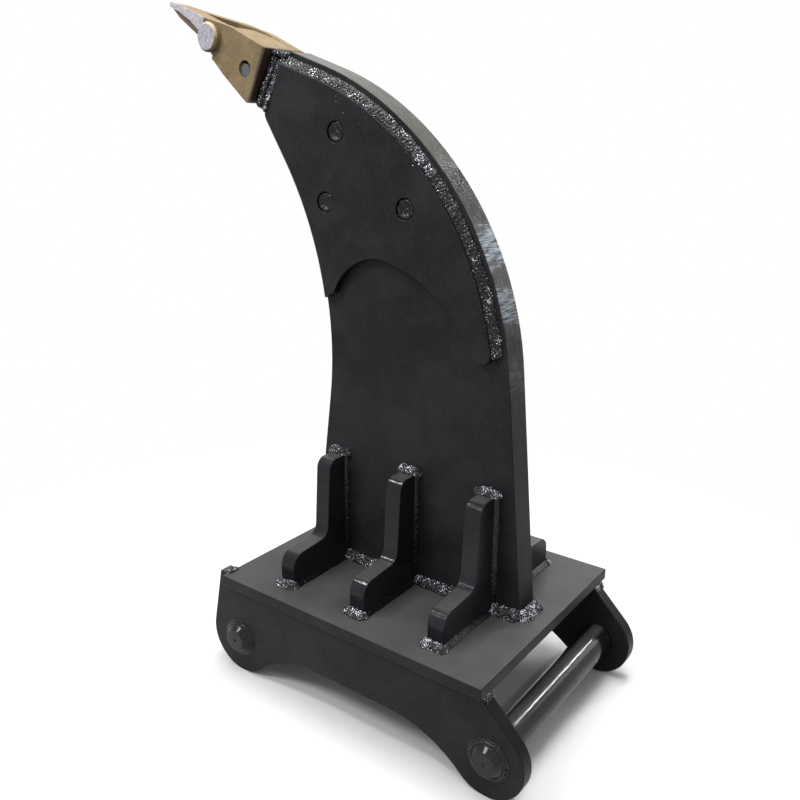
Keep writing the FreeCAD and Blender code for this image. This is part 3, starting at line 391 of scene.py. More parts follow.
def weld_enamel(name, least, shine, bump_mm):
    """Wet black enamel over arc-weld beads, broken by flecks 1 to 2 mm across that come in patches,
    partly bright slag and partly painted glints; least is the noise value where the flecks begin."""
    material, add, where = new_material(name)
    grit = add("TexNoise", where, 1 / (2.0 * MM), 3, 0.65)
    patches = add("Math", add("TexNoise", where, 1 / (12 * MM), 2, 0.5), 0.5, **TIMES)
    slag_and_glints = add("Math", add("TexNoise", where, 1 / (1.8 * MM), 2, 0.6), patches)
    flecks = add("MapRange", slag_and_glints, least, least + 0.05, **SMOOTH)
    base = add("Mix", add("MapRange", grit, 0.3, 0.7, **SMOOTH), "#0c0b0d", shine, **COLOUR)
    # Near-white flecks: partly slag, partly painted glints of the lamps on the wet beads
    base = add("Mix", flecks, base, bpy.context.scene.ripper_colours.slag_and_glints, **COLOUR)
    wet = add("MapRange", add("TexNoise", where, 1 / (6 * MM), 2), 0.35, 0.65, 0.10, 0.24, **SMOOTH)
    metal = add("Math", flecks, 0.3, **TIMES)
    bump = add("Bump", Strength=1.0, Distance=bump_mm * MM, Height=grit)
    add("OutputMaterial", add("BsdfPrincipled", Base_Color=base, Metallic=metal, Roughness=wet, IOR=1.5,
                              Specular_IOR_Level=0.25, Normal=bump), out=None)
    return material


def cast_gold_paint():
    """Tan gold primer on a sand-cast alloy steel tooth: matt and slightly grainy, worn to bare
    steel on the side pads, the wing's edge and the tip, with painted shade in brown at the rear."""
    material, add, where = new_material("tan_gold_paint_on_cast_steel")
    colours = bpy.context.scene.ripper_colours
    # Coordinates from the tooth's root: along it to the tip, and out to either side
    root = place([(TOOTH_ROOT[0], 0, TOOTH_ROOT[1])])[0].tolist()
    local = add("Mapping", where, Location=root, Rotation=(0, TOOTH_ANGLE, 0), vector_type="TEXTURE")
    axis = add("SeparateXYZ", local, out=None)
    along = add("Math", axis["X"], -1.0, **TIMES)
    side = add("Math", axis["Y"], **UNSIGNED)
    normal = add("SeparateXYZ", add("TexCoord", out="Normal"), out=None)
    sideways = add("Math", normal["Y"], **UNSIGNED)
    up = add("Math", add("Math", normal["X"], math.sin(TOOTH_ANGLE), **TIMES),
             add("Math", normal["Z"], math.cos(TOOTH_ANGLE), **TIMES))

    mottle = add("TexNoise", where, 1 / (26 * MM), 4, 0.6)
    stains = add("TexNoise", where, 1 / (7 * MM), 3)
    base = add("Mix", add("MapRange", mottle, 0.35, 0.68, **SMOOTH), colours.gold_dark,
               colours.gold_light, **COLOUR)
    base = add("Mix", add("MapRange", stains, 0.6, 0.75, 0.0, 0.5, **SMOOTH), base, "#64503a", **COLOUR)
    # Painted shade: the rear rim, turned away from the light, darkened to brown
    rear_rim_shade = add("Math", along, add("Math", mottle, 0.004, **TIMES))
    base = add("Mix", add("MapRange", rear_rim_shade, 0.003, 0.009, 1.0, 0.0, **SMOOTH), base, "#2a1c12", **COLOUR)
    # Painted shade: faces that look down, away from the light, darkened to brown
    base = add("Mix", add("MapRange", up, -0.6, -0.25, 0.8, 0.0, **SMOOTH), base, "#3d2b20", **COLOUR)

    # Pitted, rusty patches of the casting skin and fine pale scratches where it has rubbed
    pits = add("TexNoise", where, 1 / (3.4 * MM), 3, 0.7)
    base = add("Mix", add("MapRange", pits, 0.59, 0.67, 0.0, 0.55, **SMOOTH), base, "#5a4630", **COLOUR)
    scratches = add("TexNoise", add("Mapping", local, Scale=(0.12, 1, 1)), 1 / (2.4 * MM), 3, 0.7)
    base = add("Mix", add("MapRange", scratches, 0.62, 0.69, 0.0, 0.5, **SMOOTH), base, "#b7a47e",
               **COLOUR)

    # Cast edges that look up are pale, partly rubbed and partly a painted highlight: their normal
    # lies between the side's and the top's
    slanting = add("Math", add("MapRange", sideways, 0.2, 0.45, **SMOOTH),
                   add("MapRange", sideways, 0.8, 0.95, 1.0, 0.0, **SMOOTH), **TIMES)
    rub_and_highlight = add("Math", slanting, add("MapRange", up, 0.15, 0.4, **SMOOTH), **TIMES)
    base = add("Mix", add("Math", rub_and_highlight, 0.75, **TIMES), base, "#cdbf9c", **COLOUR)

    # Painted shade in brown on the keel's sides under the wing
    keel_shade = add("Math", add("MapRange", sideways, 0.4, 0.7, **SMOOTH),
               add("MapRange", along, *KEEL_FADE, **SMOOTH), **TIMES)
    base = add("Mix", add("Math", keel_shade, 0.75, **TIMES), base, "#574238", **COLOUR)

    # Bare steel with an edge that wanders by about 6 mm. The wing's side runs straight from its
    # bend to its neck, and on to the tip at a flatter slope
    fray = add("Math", add("TexNoise", where, 1 / (5 * MM), 3, 0.7), 0.5, **LESS)
    edge = add("Math", fray, 0.012, **TIMES)
    frayed = add("Math", along, edge)
    on_pad = add("MapRange", side, BOSS_SIDE - 0.0006, BOSS_SIDE - 0.0002, **SMOOTH)
    lines = [add("Math", start, add("Math", along, slope, **TIMES), **LESS) for start, slope in WING_LINES]
    past_line = add("Math", side, add("Math", *lines, **LARGER), **LESS)
    past_line = add("Math", past_line, add("Math", edge, 0.2, **TIMES))
    on_wing = add("Math", add("MapRange", past_line, -0.0026, -0.001, **SMOOTH),
                  add("MapRange", frayed, *WING_FADE, **SMOOTH), **TIMES)
    on_tip = add("MapRange", frayed, *TIP_FADE, **SMOOTH)
    bare = add("Math", on_pad, add("Math", on_wing, on_tip, **LARGER), **LARGER)
    worn = add("MapRange", add("TexNoise", where, 1 / (3.6 * MM), 4, 0.6), 0.35, 0.65, **SMOOTH)
    steel = add("Mix", worn, colours.steel_dark, colours.steel_light, **COLOUR)
    base = add("Mix", bare, base, steel, **COLOUR)

    # Sand grain about 1.8 mm across over lumps of about 7 mm
    grain = add("Math", add("TexNoise", where, 1 / (1.8 * MM), 2, 0.6), 0.2, **TIMES)
    lumps = add("Math", add("TexNoise", where, 1 / (7 * MM), 3, 0.6), 0.8, **TIMES)
    bump = add("Bump", Strength=0.6, Distance=0.0014, Height=add("Math", grain, lumps))
    add("OutputMaterial", add("BsdfPrincipled", Base_Color=base, Metallic=add("Math", bare, 0.3, **TIMES),
                              IOR=1.5, Roughness=add("MapRange", bare, 0.0, 1.0, 0.6, 0.5, **SMOOTH),
                              Specular_IOR_Level=0.35, Normal=bump), out=None)
    return material


def drawn_pin_steel():
    """Cold-drawn steel pin: dull grey, with a sawn end."""
    material, add, where = new_material("cold_drawn_pin_steel")
    grain = add("TexNoise", where, 1 / (2.5 * MM), 4, 0.7)
    base = add("Mix", grain, "#3f3f43", "#7d7d82", **COLOUR)
    bump = add("Bump", Strength=0.4, Distance=0.0004, Height=grain)
    surface = add("BsdfPrincipled", Base_Color=base, Normal=bump, Metallic=0.8, Roughness=0.45)
    add("OutputMaterial", surface, out=None)
    return material


FINISHES = {}


def finish_named(name):
    """Each material is made once, when a piece first needs it."""
    colours = bpy.context.scene.ripper_colours
    plate = (colours.plate_dark, colours.plate_light)
    gusset = (colours.gusset_dark, colours.gusset_light)
    bar = (colours.bar_dark, colours.bar_light)
    makers = {
        "plate": lambda: enamel("black_machine_enamel_on_rolled_plate", *plate, (0.34, 0.46), 0.1,
                                cut_edges_with_painted_shade),
        "blade": lambda: enamel("black_machine_enamel_on_ground_plate", *plate, (0.34, 0.46), 0.1,
                                grinder_marks_and_painted_highlights),
        "gusset": lambda: enamel("black_machine_enamel_on_torch_cut_plate", *gusset, (0.3, 0.4), 0.18,
                                 torch_ripples),
        "bar": lambda: enamel("gloss_black_enamel_on_turned_bar", *bar, (0.12, 0.18), 0.26),
        "weld": lambda: weld_enamel("enamel_over_bright_weld_bead", 0.84, "#2b292d", 1.1),
        "long_weld": lambda: weld_enamel("enamel_over_long_weld_bead", 0.895, "#151316", 0.65),
        "dark_weld": lambda: weld_enamel("enamel_over_smooth_weld_bead", 1.03, "#1d1b1f", 0.4),
        "tooth": cast_gold_paint,
        "pin": drawn_pin_steel}
    if name not in FINISHES:
        FINISHES[name] = makers[name]()
    return FINISHES[name]


# Paths of the beads

def outer_edge(inset, end_z, count=120):
    """The blade's outer edge moved inwards, nose first: a straight run along the upper slope,
    then the big arc down to end_z. Gives points and outward directions in X and Z."""
    up = np.array((-math.cos(OUTER_SLOPE), math.sin(OUTER_SLOPE)))
    down = (FOOT_REAR - OUTER_CORNER) / np.linalg.norm(FOOT_REAR - OUTER_CORNER)
    half = math.acos(up @ down) / 2
    mid = (up + down) / np.linalg.norm(up + down)
    centre = OUTER_CORNER + mid * OUTER_RADIUS / math.sin(half)
    tangent = OUTER_CORNER + up * OUTER_RADIUS / math.tan(half)
    start = math.atan2(*(tangent - centre)[::-1])
    radius = OUTER_RADIUS - inset
    stop = math.asin((end_z - centre[1]) / radius)
    angles = np.linspace(start, stop, count)
    arc = np.stack((np.cos(angles), np.sin(angles)), -1)
    back = np.array((math.cos(TOOTH_ANGLE), -math.sin(TOOTH_ANGLE)))
    nose = np.array(TOOTH_ROOT) + back * ADAPTER_STAND_OFF
    across = np.array((math.sin(TOOTH_ANGLE), math.cos(TOOTH_ANGLE)))
    first = centre + arc[0] * radius
    run = np.linalg.solve(np.array((up, -across)).T, nose - first)[0]
    # The line starts 6 mm inside the weld round the adapter
    points = np.vstack((first + up * (run + 6), centre + arc * radius))
    return points, np.vstack((arc[:1], arc))


def lift(points, y):
    """Points in X and Z at a given Y."""
    points = np.asarray(points, float)
    return np.insert(points, 1, np.broadcast_to(y, len(points)), axis=1)


def turned(name, axis, profile, material, count=96):
    """A profile of (radius, y) points turned about a line along Y through axis, whose first and
    last points lie on that line."""
    turn = np.linspace(0, 2 * math.pi, count, endpoint=False)
    radius, y = np.asarray(profile[1:-1], float).T
    level = np.broadcast_to(y[:, None], (len(y), count))
    rings = np.stack((axis[0] + radius[:, None] * np.cos(turn), level,
                      axis[1] + radius[:, None] * np.sin(turn)), -1)
    index = np.arange(len(y) * count).reshape(len(y), count)
    ahead = np.roll(index, -1, 1)
    faces = np.stack((index[:-1], ahead[:-1], ahead[1:], index[1:]), -1).reshape(-1, 4).tolist()
    poles = [(axis[0], profile[k][1], axis[1]) for k in (0, -1)]
    first, last = index.size, index.size + 1
    faces += [[first, b, a] for a, b in zip(index[0].tolist(), ahead[0].tolist())]
    faces += [[last, a, b] for a, b in zip(index[-1].tolist(), ahead[-1].tolist())]
    return finish_mesh(name, np.vstack((rings.reshape(-1, 3), poles)), faces, material)


def rounded_rectangle(half_w, half_h, radius, count=10):
    """Closed outline about the origin with arc corners, and its outward directions."""
    angles = np.linspace(0, math.pi / 2, count)
    outline, out = [], []
    for k, (sx, sy) in enumerate(((1, 1), (-1, 1), (-1, -1), (1, -1))):
        turn = angles + k * math.pi / 2
        direction = np.stack((np.cos(turn), np.sin(turn)), -1)
        outline.append(direction * radius + (sx * (half_w - radius), sy * (half_h - radius)))
        out.append(direction)
    return np.vstack(outline), np.vstack(out)


# Settings

class RipperSizes(bpy.types.PropertyGroup):
    """Sizes of the weld beads, the eased edges and the spatter."""

    bead_step: bpy.props.FloatProperty(
        name="Bead step", description="Distance between rows of points along a bead",
        default=0.0009, min=0.0003, precision=5, subtype="DISTANCE", unit="LENGTH")
    plate_edge: bpy.props.FloatProperty(
        name="Plate edge", description="Width of the eased edge on the cut plates",
        default=0.0013, min=0.0001, max=0.004, precision=5, subtype="DISTANCE", unit="LENGTH")
    cast_edge: bpy.props.FloatProperty(
        name="Cast edge", description="Width of the rounded edge on the cast tooth",
        default=0.0018, min=0.0001, max=0.006, precision=5, subtype="DISTANCE", unit="LENGTH")
    spatter: bpy.props.IntProperty(
        name="Spatter", description="Weld spatter dots on each cheek plate", default=260, min=0)


def colour(name, description, default):
    """A colour that a user can change; the default is a hex text or a linear colour."""
    if isinstance(default, str):
        default = linear(default)
    return bpy.props.FloatVectorProperty(name=name, description=description, default=default,
                                         subtype="COLOR", size=4, min=0, max=1)


class RipperColours(bpy.types.PropertyGroup):
    """Colours of the paint, the bare steel and the stage."""

    plate_dark: colour("Plate, dark", "Darkest clouds of the enamel on the plates", "#201e21")
    plate_light: colour("Plate, light", "Lightest clouds of the enamel on the plates", "#2e2c2f")
    gusset_dark: colour("Gusset, dark", "Darkest clouds of the enamel on the gussets", "#19171b")
    gusset_light: colour("Gusset, light", "Lightest clouds of the enamel on the gussets", "#252227")
    bar_dark: colour("Pin, dark", "Darkest clouds of the enamel on the coupler pins", "#111013")
    bar_light: colour("Pin, light", "Lightest clouds of the enamel on the coupler pins", "#1c1b1f")
    # Near-white flecks on the beads: partly slag, partly painted glints
    slag_and_glints: colour("Slag_and_glints", "Bright flecks on the weld beads", "#e2e2ee")
    gold_dark: colour("Gold, dark", "Darkest clouds of the tooth's paint", "#7d6a4c")
    gold_light: colour("Gold, light", "Lightest clouds of the tooth's paint", "#8c7a58")
    steel_dark: colour("Steel, dark", "Darkest patches of the tooth's bare steel", "#9c98a0")
    steel_light: colour("Steel, light", "Lightest patches of the tooth's bare steel", "#bebac2")
    floor: colour("Floor", "Colour of the pale floor", (0.82, 0.82, 0.82, 1.0))


# Operators

class RIPPER_OT_plates(bpy.types.Operator):
    """Paint the blade, cheeks, gussets, ears, plate and adapter and ease their edges"""

    bl_idname = "ripper.plates"
    bl_label = "Plates"

    def execute(self, context):
        finishes = {"shank_blade": "blade"}
        plates = ("base_plate", "cheek_plate_near", "cheek_plate_far", "ear_near", "ear_far",
                  "tooth_adapter")
        finishes.update({name: "plate" for name in plates})
        finishes.update({"gusset_%s_%s" % (side, row): "gusset"
                         for side in SIDES for row in ("front", "middle", "rear")})
        for name, finish in finishes.items():
            rounded_copy(name, context.scene.ripper_sizes.plate_edge, finish_named(finish))
        return {"FINISHED"}


class RIPPER_OT_pins(bpy.types.Operator):
    """Paint the coupler pins, and give the tooth pin and its ring bare steel"""

    bl_idname = "ripper.pins"
    bl_label = "Pins"

    def execute(self, context):
        for name, x in zip(("front_pin", "rear_pin"), PIN_X):
            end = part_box(name)[1].y / MM
            # Centre hole, flat end, rounded corner, long taper, rounded corner, half the shaft
            half = [(0, end - 4), (2.6, end - 0.5), (3.4, end),
                    (PIN_END_RADIUS - 1.5, end), (PIN_END_RADIUS - 0.4, end - 0.3),
                    (PIN_END_RADIUS, end - 0.9), (PIN_RADIUS - 0.5, EAR_FACE + 5.5),
                    (PIN_RADIUS - 0.1, EAR_FACE + 4.6), (PIN_RADIUS, EAR_FACE + 3.5)]
            profile = half + [(radius, -y) for radius, y in reversed(half)]
            piece = turned(name + "_skin", (x, PIN_Z), profile, finish_named("bar"))
            ease = piece.modifiers.new("flat faces stay flat", "WEIGHTED_NORMAL")
            ease.keep_sharp = True
            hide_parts(name)
        for name in ("tooth_pin", "tooth_pin_retainer"):
            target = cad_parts[name].data
            target.materials.clear()
            target.materials.append(finish_named("pin"))
        return {"FINISHED"}


class RIPPER_OT_tooth(bpy.types.Operator):
    """Round the cast tooth's edges and give it worn gold paint"""

    bl_idname = "ripper.tooth"
    bl_label = "Tooth"

    def execute(self, context):
        rounded_copy("tooth", context.scene.ripper_sizes.cast_edge, finish_named("tooth"), 3)
        return {"FINISHED"}


class RIPPER_OT_cheek_welds(bpy.types.Operator):
    """Lay the long bead along each cheek plate's rear edge"""

    bl_idname = "ripper.cheek_welds"
    bl_label = "Cheek welds"

    def execute(self, context):
        for side, sign in SIDES.items():
            points, out = outer_edge(CHEEK_SETBACK, CHEEK_BEAD_LOW_Z)
            path = lift(points, sign * BLADE_HALF)
            rows = bead(path, lift(out, 0), (0, sign, 0), 11.5, CHEEK_THICK - 2.2,
                        seed=11 if sign < 0 else 17, taper=4, pitch=3.6, ripple=0.7, lump=0.8,
                        flat=1.5, cols=18, sway=0.25)
            piece = skin("cheek_bead_" + side, rows, False, finish_named("long_weld"))
            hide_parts("cheek_weld_" + side)
        return {"FINISHED"}


class RIPPER_OT_adapter_weld(bpy.types.Operator):
    """Lay the bead that joins the blade's end to the adapter"""

    bl_idname = "ripper.adapter_weld"
    bl_label = "Adapter weld"

    def execute(self, context):
        outline, out = rounded_rectangle(ADAPTER_HALF_WIDTH, ADAPTER_HALF_HEIGHT, ADAPTER_CORNER)
        outline, out = np.vstack((outline, outline[:1])), np.vstack((out, out[:1]))
        spread = tooth_point(0, out[:, 0], out[:, 1]) - tooth_point(0, 0, 0)
        ahead = tooth_point(1, 0, 0) - tooth_point(0, 0, 0)
        for name, start, legs, seed in (("cap", -1, (8.0, 13.0), 31), ("root", 12, (5.5, 12.0), 37)):
            path = tooth_point(start - ADAPTER_STAND_OFF, outline[:, 0], outline[:, 1])
            rows = bead(path, spread, ahead, *legs, seed=seed, taper=0.5, pitch=5, ripple=0.9,
                        lump=1.5, cols=16)
            piece = skin("adapter_bead_" + name, rows[:-1], True, finish_named("weld"))
            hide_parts("adapter_weld")
        return {"FINISHED"}


class RIPPER_OT_plug_welds(bpy.types.Operator):
    """Fill the cheek plates' holes with dished plug welds"""

    bl_idname = "ripper.plug_welds"
    bl_label = "Plug welds"

    def execute(self, context):
        for side, sign in SIDES.items():
            for k, centre in enumerate(PLUGS):
                points, faces = self.dish(centre, sign, k)
                piece = finish_mesh("plug_bead_%s_%d" % (side, k), points, faces,
                                    finish_named("dark_weld"))
                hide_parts("plug_welds_" + side)
        return {"FINISHED"}

    @staticmethod
    def dish(centre, sign, number, count=64):
        """One plug: rings about the hole's middle, each at its share of the hole's radius and its
        height over the blade, closed by one point in the dimple and a flat face at the blade."""
        share = np.array((0.0, 0.12, 0.25, 0.38, 0.5, 0.62, 0.72, 0.8, 0.88, 0.94, 0.98, 1.0, 1.0))
        # A dimple, a rolled ring, a groove under the hole's edge, and the wall
        rise = np.array((8.6, 8.2, 7.6, 7.6, 8.6, 9.9, 10.7, 10.9, 10.4, 9.4, 8.4, 7.8, 0.2))
        turn = np.linspace(0, 2 * math.pi, count, endpoint=False)[:, None]
        radius = np.broadcast_to(PLUG_RADIUS * share, (count, len(share)))
        grid = np.stack((centre[0] + radius * np.cos(turn), np.broadcast_to(rise, radius.shape),
                         centre[1] + radius * np.sin(turn)), -1)
        wobble = 0.35 * waves(grid, 6, 50 + number) + 0.2 * waves(grid, 2.5, 60 + number)
        on_skin = (share > 0.05) & (share < 0.99)
        grid[..., 1] = sign * (BLADE_HALF + grid[..., 1] + wobble * on_skin)
        # The dimple's point comes first, then the rings without their shared middle
        points = np.vstack((grid[0, :1], grid[:, 1:].reshape(-1, 3)))
        index = np.arange(1, len(points)).reshape(count, -1)
        ahead = np.roll(index, -1, 0)
        faces = np.stack((index[:, :-1], index[:, 1:], ahead[:, 1:], ahead[:, :-1]), -1)
        faces = faces.reshape(-1, 4).tolist()
        faces += [[here, there, 0] for here, there in zip(index[:, 0].tolist(), ahead[:, 0].tolist())]
        faces.append(index[:, -1].tolist())
        return points, faces


class RIPPER_OT_gusset_welds(bpy.types.Operator):
    """Lay beads round each gusset's foot and up its leg"""

    bl_idname = "ripper.gusset_welds"
    bl_label = "Gusset welds"

    def execute(self, context):
        for side, sign in SIDES.items():
            for k, x in enumerate(GUSSET_X):
                for number, (name, path, a, b, legs, finish, look) in enumerate(self.runs(x, sign)):
                    seed = 100 + 40 * k + 5 * number + int(sign)
                    rows = bead(np.array(path, float), a, b, *legs, seed=seed, **look)
                    piece = skin("gusset_%s_bead_%s_%d" % (name, side, k), rows, False,
                                 finish_named(finish))
                    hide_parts("gusset_welds_" + side)
        return {"FINISHED"}

    @staticmethod
    def runs(x, sign):
        """The beads of one gusset: both sides of its foot, a pad at its nose, both sides of its
        leg and a cap over its crown, each as a path with its two directions and legs."""
        half, face, tip = GUSSET_THICK / 2, BLADE_HALF, BLADE_HALF + GUSSET_REACH
        calm = {"pitch": 3.4, "ripple": 0.2, "lump": 0.35, "flat": 1.7, "sway": 0.4}
        rough = {"pitch": 4.8, "ripple": 0.8, "lump": 1.5, "taper": 7, "cols": 14}
        for name, way in (("fore", -1.0), ("aft", 1.0)):
            edge = x + way * half
            yield ("foot_" + name, ((edge, sign * (face + 5), 0), (edge, sign * (tip + 2), 0)),
                   (way, 0, 0), (0, 0, 1), (7.0, 7.0), "dark_weld", calm)
            yield ("leg_" + name, ((edge, sign * face, 6), (edge, sign * face, GUSSET_HEIGHT + 2)),
                   (way, 0, 0), (0, sign, 0), (5.0, 5.5), "dark_weld", calm)
        wide = half + 8.5
        yield ("nose", ((x - wide, sign * tip, 0), (x + wide, sign * tip, 0)),
               (0, sign, 0), (0, 0, 1), (12.5, 8.5), "weld", rough)
        yield ("crown", ((x - wide, sign * face, GUSSET_HEIGHT), (x + wide, sign * face, GUSSET_HEIGHT)),
               (0, 0, 1), (0, sign, 0), (10.5, 9.0), "weld", rough)


class RIPPER_OT_base_weld(bpy.types.Operator):
    """Lay the beads along the blade's foot"""

    bl_idname = "ripper.base_weld"
    bl_label = "Blade foot welds"

    def execute(self, context):
        half = GUSSET_THICK / 2
        stops = [FOOT_FRONT_X] + [x + s * half for x in GUSSET_X for s in (-1, 1)] + [FOOT_REAR[0]]
        pieces = []
        for side, sign in SIDES.items():
            for k in range(0, len(stops), 2):
                path = np.array([(x, sign * BLADE_HALF, 0) for x in stops[k:k + 2]])
                rows = bead(path, (0, sign, 0), (0, 0, 1), 12.5, 12.5, seed=300 + k + int(sign), taper=2,
                            pitch=5, ripple=0.8, lump=1.2, cols=14)
                pieces.append(skin("foot_bead_%s_%d" % (side, k // 2), rows, False, finish_named("weld")))
        for name, x, sign in (("front", FOOT_FRONT_X, -1.0), ("rear", FOOT_REAR[0], 1.0)):
            path = np.array(((x, -BLADE_HALF - 6, 0), (x, BLADE_HALF + 6, 0)))
            rows = bead(path, (sign, 0, 0), (0, 0, 1), 13.0, 13.0, seed=340 + int(sign), taper=5,
                        pitch=5, ripple=0.8, lump=1.2, cols=14)
            pieces.append(skin("foot_bead_" + name, rows, False, finish_named("weld")))
        for piece in pieces:
            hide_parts("blade_base_weld")
        return {"FINISHED"}


class RIPPER_OT_pin_welds(bpy.types.Operator):
    """Lay the ring bead round each coupler pin and the beads under the base plate"""

    bl_idname = "ripper.pin_welds"
    bl_label = "Pin and ear welds"

    def execute(self, context):
        turn = np.linspace(0, 2 * math.pi, 121)
        radial = np.stack((np.cos(turn), np.zeros_like(turn), np.sin(turn)), -1)
        for side, sign in SIDES.items():
            for k, x in enumerate(PIN_X):
                runs = ((PIN_RADIUS, (4.6, 4.6)), (PIN_RADIUS + 4.2, (2.6, 1.7)))
                for run, (start, legs) in enumerate(runs):
                    path = radial * start + (x, sign * EAR_FACE, PIN_Z)
                    rows = bead(path, radial, (0, sign, 0), *legs, seed=400 + 2 * k + run + int(sign),
                                taper=0.5, pitch=4, ripple=0.2, lump=0.3, flat=1.1, cols=10, sway=0.4)
                    piece = skin("pin_bead_%s_%d_%d" % (side, k, run), rows[:-1], True,
                                 finish_named("dark_weld"))
                    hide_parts("pin_welds_" + side)
            low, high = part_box("ear_welds_" + side)
            x_low, x_high = low.x / MM - PLATE_X, high.x / MM - PLATE_X
            for name, y, out in (("outer", EAR_FACE, 1), ("inner", EAR_FACE - EAR_THICK, -1)):
                path = np.array([(x, sign * y, -PLATE_THICK) for x in (x_low, x_high)])
                rows = bead(path, (0, sign * out, 0), (0, 0, -1), 5.0, 6.0,
                            seed=440 + out + int(sign), pitch=5, ripple=0.6, lump=0.8, cols=9)
                piece = skin("ear_bead_%s_%s" % (side, name), rows, False,
                             finish_named("dark_weld"))
                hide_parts("ear_welds_" + side)
            self.corners(side, sign)
        return {"FINISHED"}

    @staticmethod
    def corners(side, sign):
        """Short beads where the plate's ends cross the ear: one in the notch under its rear end
        and one over the joint behind the horn."""
        across = [sign * (EAR_FACE + 1), sign * (EAR_FACE - EAR_THICK - 1)]
        slope = math.sqrt(0.5)
        for name, x, z, a, b, legs in (
                ("rear", EAR_REAR_TOP, -PLATE_THICK, (1, 0, 0), (slope, 0, -slope), (9.0, 15.0)),
                ("horn", HORN_X, -1.0, (-1, 0, 0.45), (1, 0, 0.45), (7.0, 6.0))):
            rows = bead(np.array([(x, y, z) for y in across]), a, b, *legs, seed=480 + int(sign),
                        taper=4, ripple=0.5, lump=1.2, cols=12)
            skin("corner_bead_%s_%s" % (side, name), rows, False, finish_named("weld"))


class RIPPER_OT_spatter(bpy.types.Operator):
    """Scatter weld spatter beside the long beads on the cheek plates"""

    bl_idname = "ripper.spatter"
    bl_label = "Spatter"

    def execute(self, context):
        rng = np.random.default_rng(5)
        count = context.scene.ripper_sizes.spatter
        for side, sign in SIDES.items():
            points, out = outer_edge(CHEEK_SETBACK, SPATTER_LOW_Z)
            pick = rng.integers(0, len(points), count)
            away = rng.exponential(9.0, count).clip(0, 60) + 1.5
            centre = points[pick] - out[pick] * away[:, None] + rng.normal(size=(count, 2)) * 3
            y = np.full(count, sign * (BLADE_HALF + CHEEK_THICK))
            centres = np.stack((centre[:, 0], y, centre[:, 1]), -1)
            radii = rng.gamma(2.0, 0.2, count).clip(0.25, 1.3)
            normals = np.broadcast_to((0.0, sign, 0.0), (count, 3))
            dots("spatter_" + side, centres, radii, normals, finish_named("long_weld"))
        return {"FINISHED"}


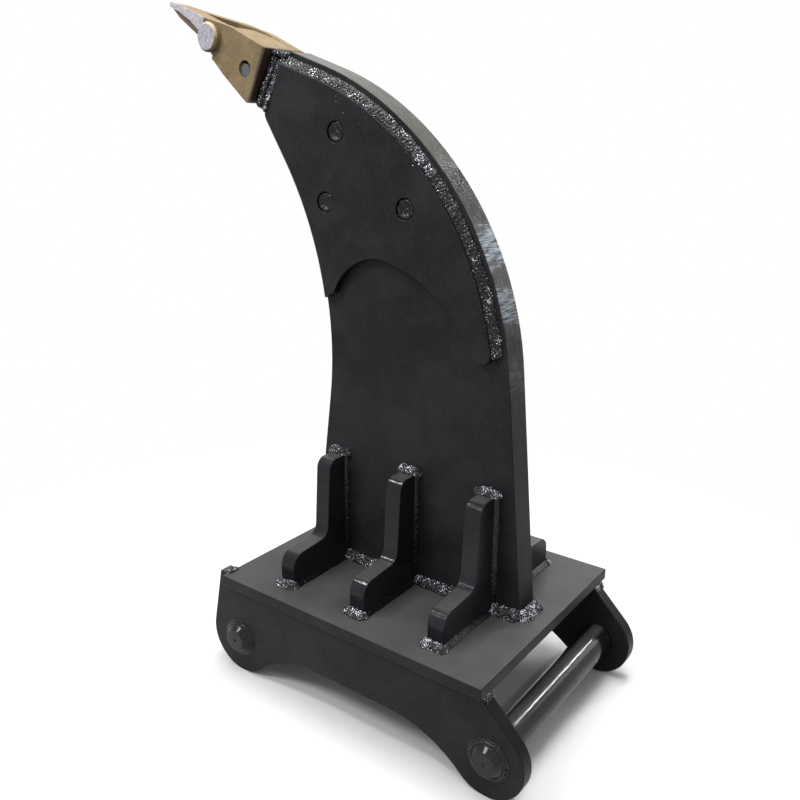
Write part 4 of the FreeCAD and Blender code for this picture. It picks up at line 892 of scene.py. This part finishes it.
class RIPPER_OT_stage(bpy.types.Operator):
    """Set the camera, the pale floor and the soft studio light"""

    bl_idname = "ripper.stage"
    bl_label = "Stage"

    def execute(self, context):
        scene = context.scene
        scene.view_settings.view_transform = "Standard"
        self.camera(scene)
        self.floor(scene)
        self.world(scene)
        for name, spot, aim, width, depth, power in (
                ("overhead_soft", (0.1, 0.1, 3.0), (0, 0, 0.4), 1.8, 1.2, 60),
                ("front_left_soft", (-0.9, -2.0, 2.8), (0, 0, 0.5), 0.8, 0.8, 40),
                ("window_behind", (1.5, 2.9, 1.5), (0.1, 0, 0.4), 1.0, 1.5, 13),
                ("plate_behind", (-0.33, 1.4, 0.98), (0.28, 0, 0.16), 0.7, 0.3, 3),
                ("left_sparkle", (-1.5, -0.9, 2.7), (0, 0, 0.4), 0.34, 0.34, 26),
                ("right_sparkle", (1.9, -1.3, 2.2), (0, 0, 0.4), 0.2, 0.2, 5),
                ("top_sparkle", (0.3, 0.5, 2.8), (0, 0, 0.4), 0.5, 0.12, 7)):
            self.lamp(scene, name, spot, aim, width, depth, power)
        # A narrow beam that only streaks the rear pin
        streak = self.lamp(scene, "pin_streak", (0.62, 2.2, 2.03), (0.32, 0, 0.06), 0.05, 0.5, 0.34)
        streak.data.spread = math.radians(24)
        return {"FINISHED"}

    @staticmethod
    def camera(scene):
        """The camera at the photograph's place: 36.5 degrees round, 17.3 degrees down."""
        azimuth, down, roll = (math.radians(v) for v in CAMERA_ANGLES)
        level = np.array((-math.sin(azimuth), math.cos(azimuth), 0))
        ahead = level * math.cos(down) - (0, 0, math.sin(down))
        right = np.array((math.cos(azimuth), math.sin(azimuth), 0))
        up = np.cross(right, ahead)
        c, s = math.cos(roll), math.sin(roll)
        right, up = c * right + s * up, c * up - s * right
        data = bpy.data.cameras.new("photo_camera")
        data.sensor_width = 36
        data.lens = data.sensor_width * CAMERA_FOCAL
        data.clip_start = 0.05
        camera = bpy.data.objects.new("photo_camera", data)
        scene.collection.objects.link(camera)
        matrix = np.eye(4)
        matrix[:3, 0], matrix[:3, 1], matrix[:3, 2] = right, up, -ahead
        matrix[:3, 3] = place([CAMERA_PLACE])[0]
        camera.matrix_world = Matrix(matrix.tolist())
        scene.camera = camera

    @staticmethod
    def floor(scene):
        """A wide pale sheet. Near the object it is lit and shaded as it is; further out it turns
        to the background's own white, and it sends back less light than it shows."""
        mesh = bpy.data.meshes.new("floor")
        mesh.from_pydata([(-9, -9, 0), (9, -9, 0), (9, 9, 0), (-9, 9, 0)], [], [(0, 1, 2, 3)])
        floor = bpy.data.objects.new("floor", mesh)
        scene.collection.objects.link(floor)
        material, add, where = new_material("matt_studio_floor")
        seen = seen_ray(add)
        shade = add("Mix", seen, "#8c8c8c", scene.ripper_colours.floor, **COLOUR)
        sheet = add("BsdfPrincipled", Roughness=0.9, Specular_IOR_Level=0.1, Base_Color=shade)
        far = add("MapRange", add("VectorMath", where, operation="LENGTH"), 0.55, 1.0, **SMOOTH)
        white = add("Emission", Color="#ffffff", Strength=1.0)
        add("OutputMaterial", add("MixShader", add("Math", seen, far, **TIMES), sheet, white), out=None)
        mesh.materials.append(material)

    @staticmethod
    def world(scene):
        """White for the camera and in reflections, softer as a light."""
        world = bpy.data.worlds.new("studio")
        scene.world = world
        world.use_nodes = True
        world.node_tree.nodes.clear()
        add = functools.partial(node, world.node_tree)
        soft = add("Background", Color="#ffffff", Strength=0.35)
        white = add("Background", Color="#ffffff", Strength=1.0)
        add("OutputWorld", add("MixShader", seen_ray(add), soft, white), out=None)

    @staticmethod
    def lamp(scene, name, spot, aim, width, depth, power):
        """A rectangular soft box that faces its aim, with its power in watts."""
        data = bpy.data.lights.new(name, "AREA")
        data.shape = "RECTANGLE"
        data.size, data.size_y, data.energy = width, depth, power
        lamp = bpy.data.objects.new(name, data)
        scene.collection.objects.link(lamp)
        lamp.location = spot
        direction = np.array(aim) - np.array(spot)
        lamp.rotation_euler = Vector(direction.tolist()).to_track_quat("-Z", "Y").to_euler()
        return lamp


class RIPPER_PT_panel(bpy.types.Panel):
    """Lists the pieces in the order in which they are made"""

    bl_idname = "RIPPER_PT_panel"
    bl_label = "Ripper shank"
    bl_space_type = "VIEW_3D"
    bl_region_type = "UI"
    bl_category = "Ripper"

    def draw(self, context):
        for owner in (context.scene.ripper_sizes, context.scene.ripper_colours):
            for prop in owner.bl_rna.properties:
                if prop.identifier not in ("rna_type", "name"):
                    self.layout.prop(owner, prop.identifier)
        for step in STEPS:
            self.layout.operator(step.bl_idname)


STEPS = (RIPPER_OT_plates, RIPPER_OT_pins, RIPPER_OT_tooth, RIPPER_OT_cheek_welds, RIPPER_OT_adapter_weld,
         RIPPER_OT_plug_welds, RIPPER_OT_gusset_welds, RIPPER_OT_base_weld, RIPPER_OT_pin_welds,
         RIPPER_OT_spatter, RIPPER_OT_stage)
CLASSES = (RipperSizes, RipperColours) + STEPS + (RIPPER_PT_panel,)


def register():
    """Add the classes and the settings that they use."""
    for cls in CLASSES:
        bpy.utils.register_class(cls)
    bpy.types.Scene.ripper_sizes = bpy.props.PointerProperty(type=RipperSizes)
    bpy.types.Scene.ripper_colours = bpy.props.PointerProperty(type=RipperColours)


def unregister():
    """Take the settings and the classes away again."""
    del bpy.types.Scene.ripper_colours
    del bpy.types.Scene.ripper_sizes
    for cls in reversed(CLASSES):
        bpy.utils.unregister_class(cls)


def main():
    """Make every piece in order."""
    register()
    for step in STEPS:
        group, name = step.bl_idname.split(".")
        getattr(getattr(bpy.ops, group), name)()


if __name__ == "__main__":
    main()
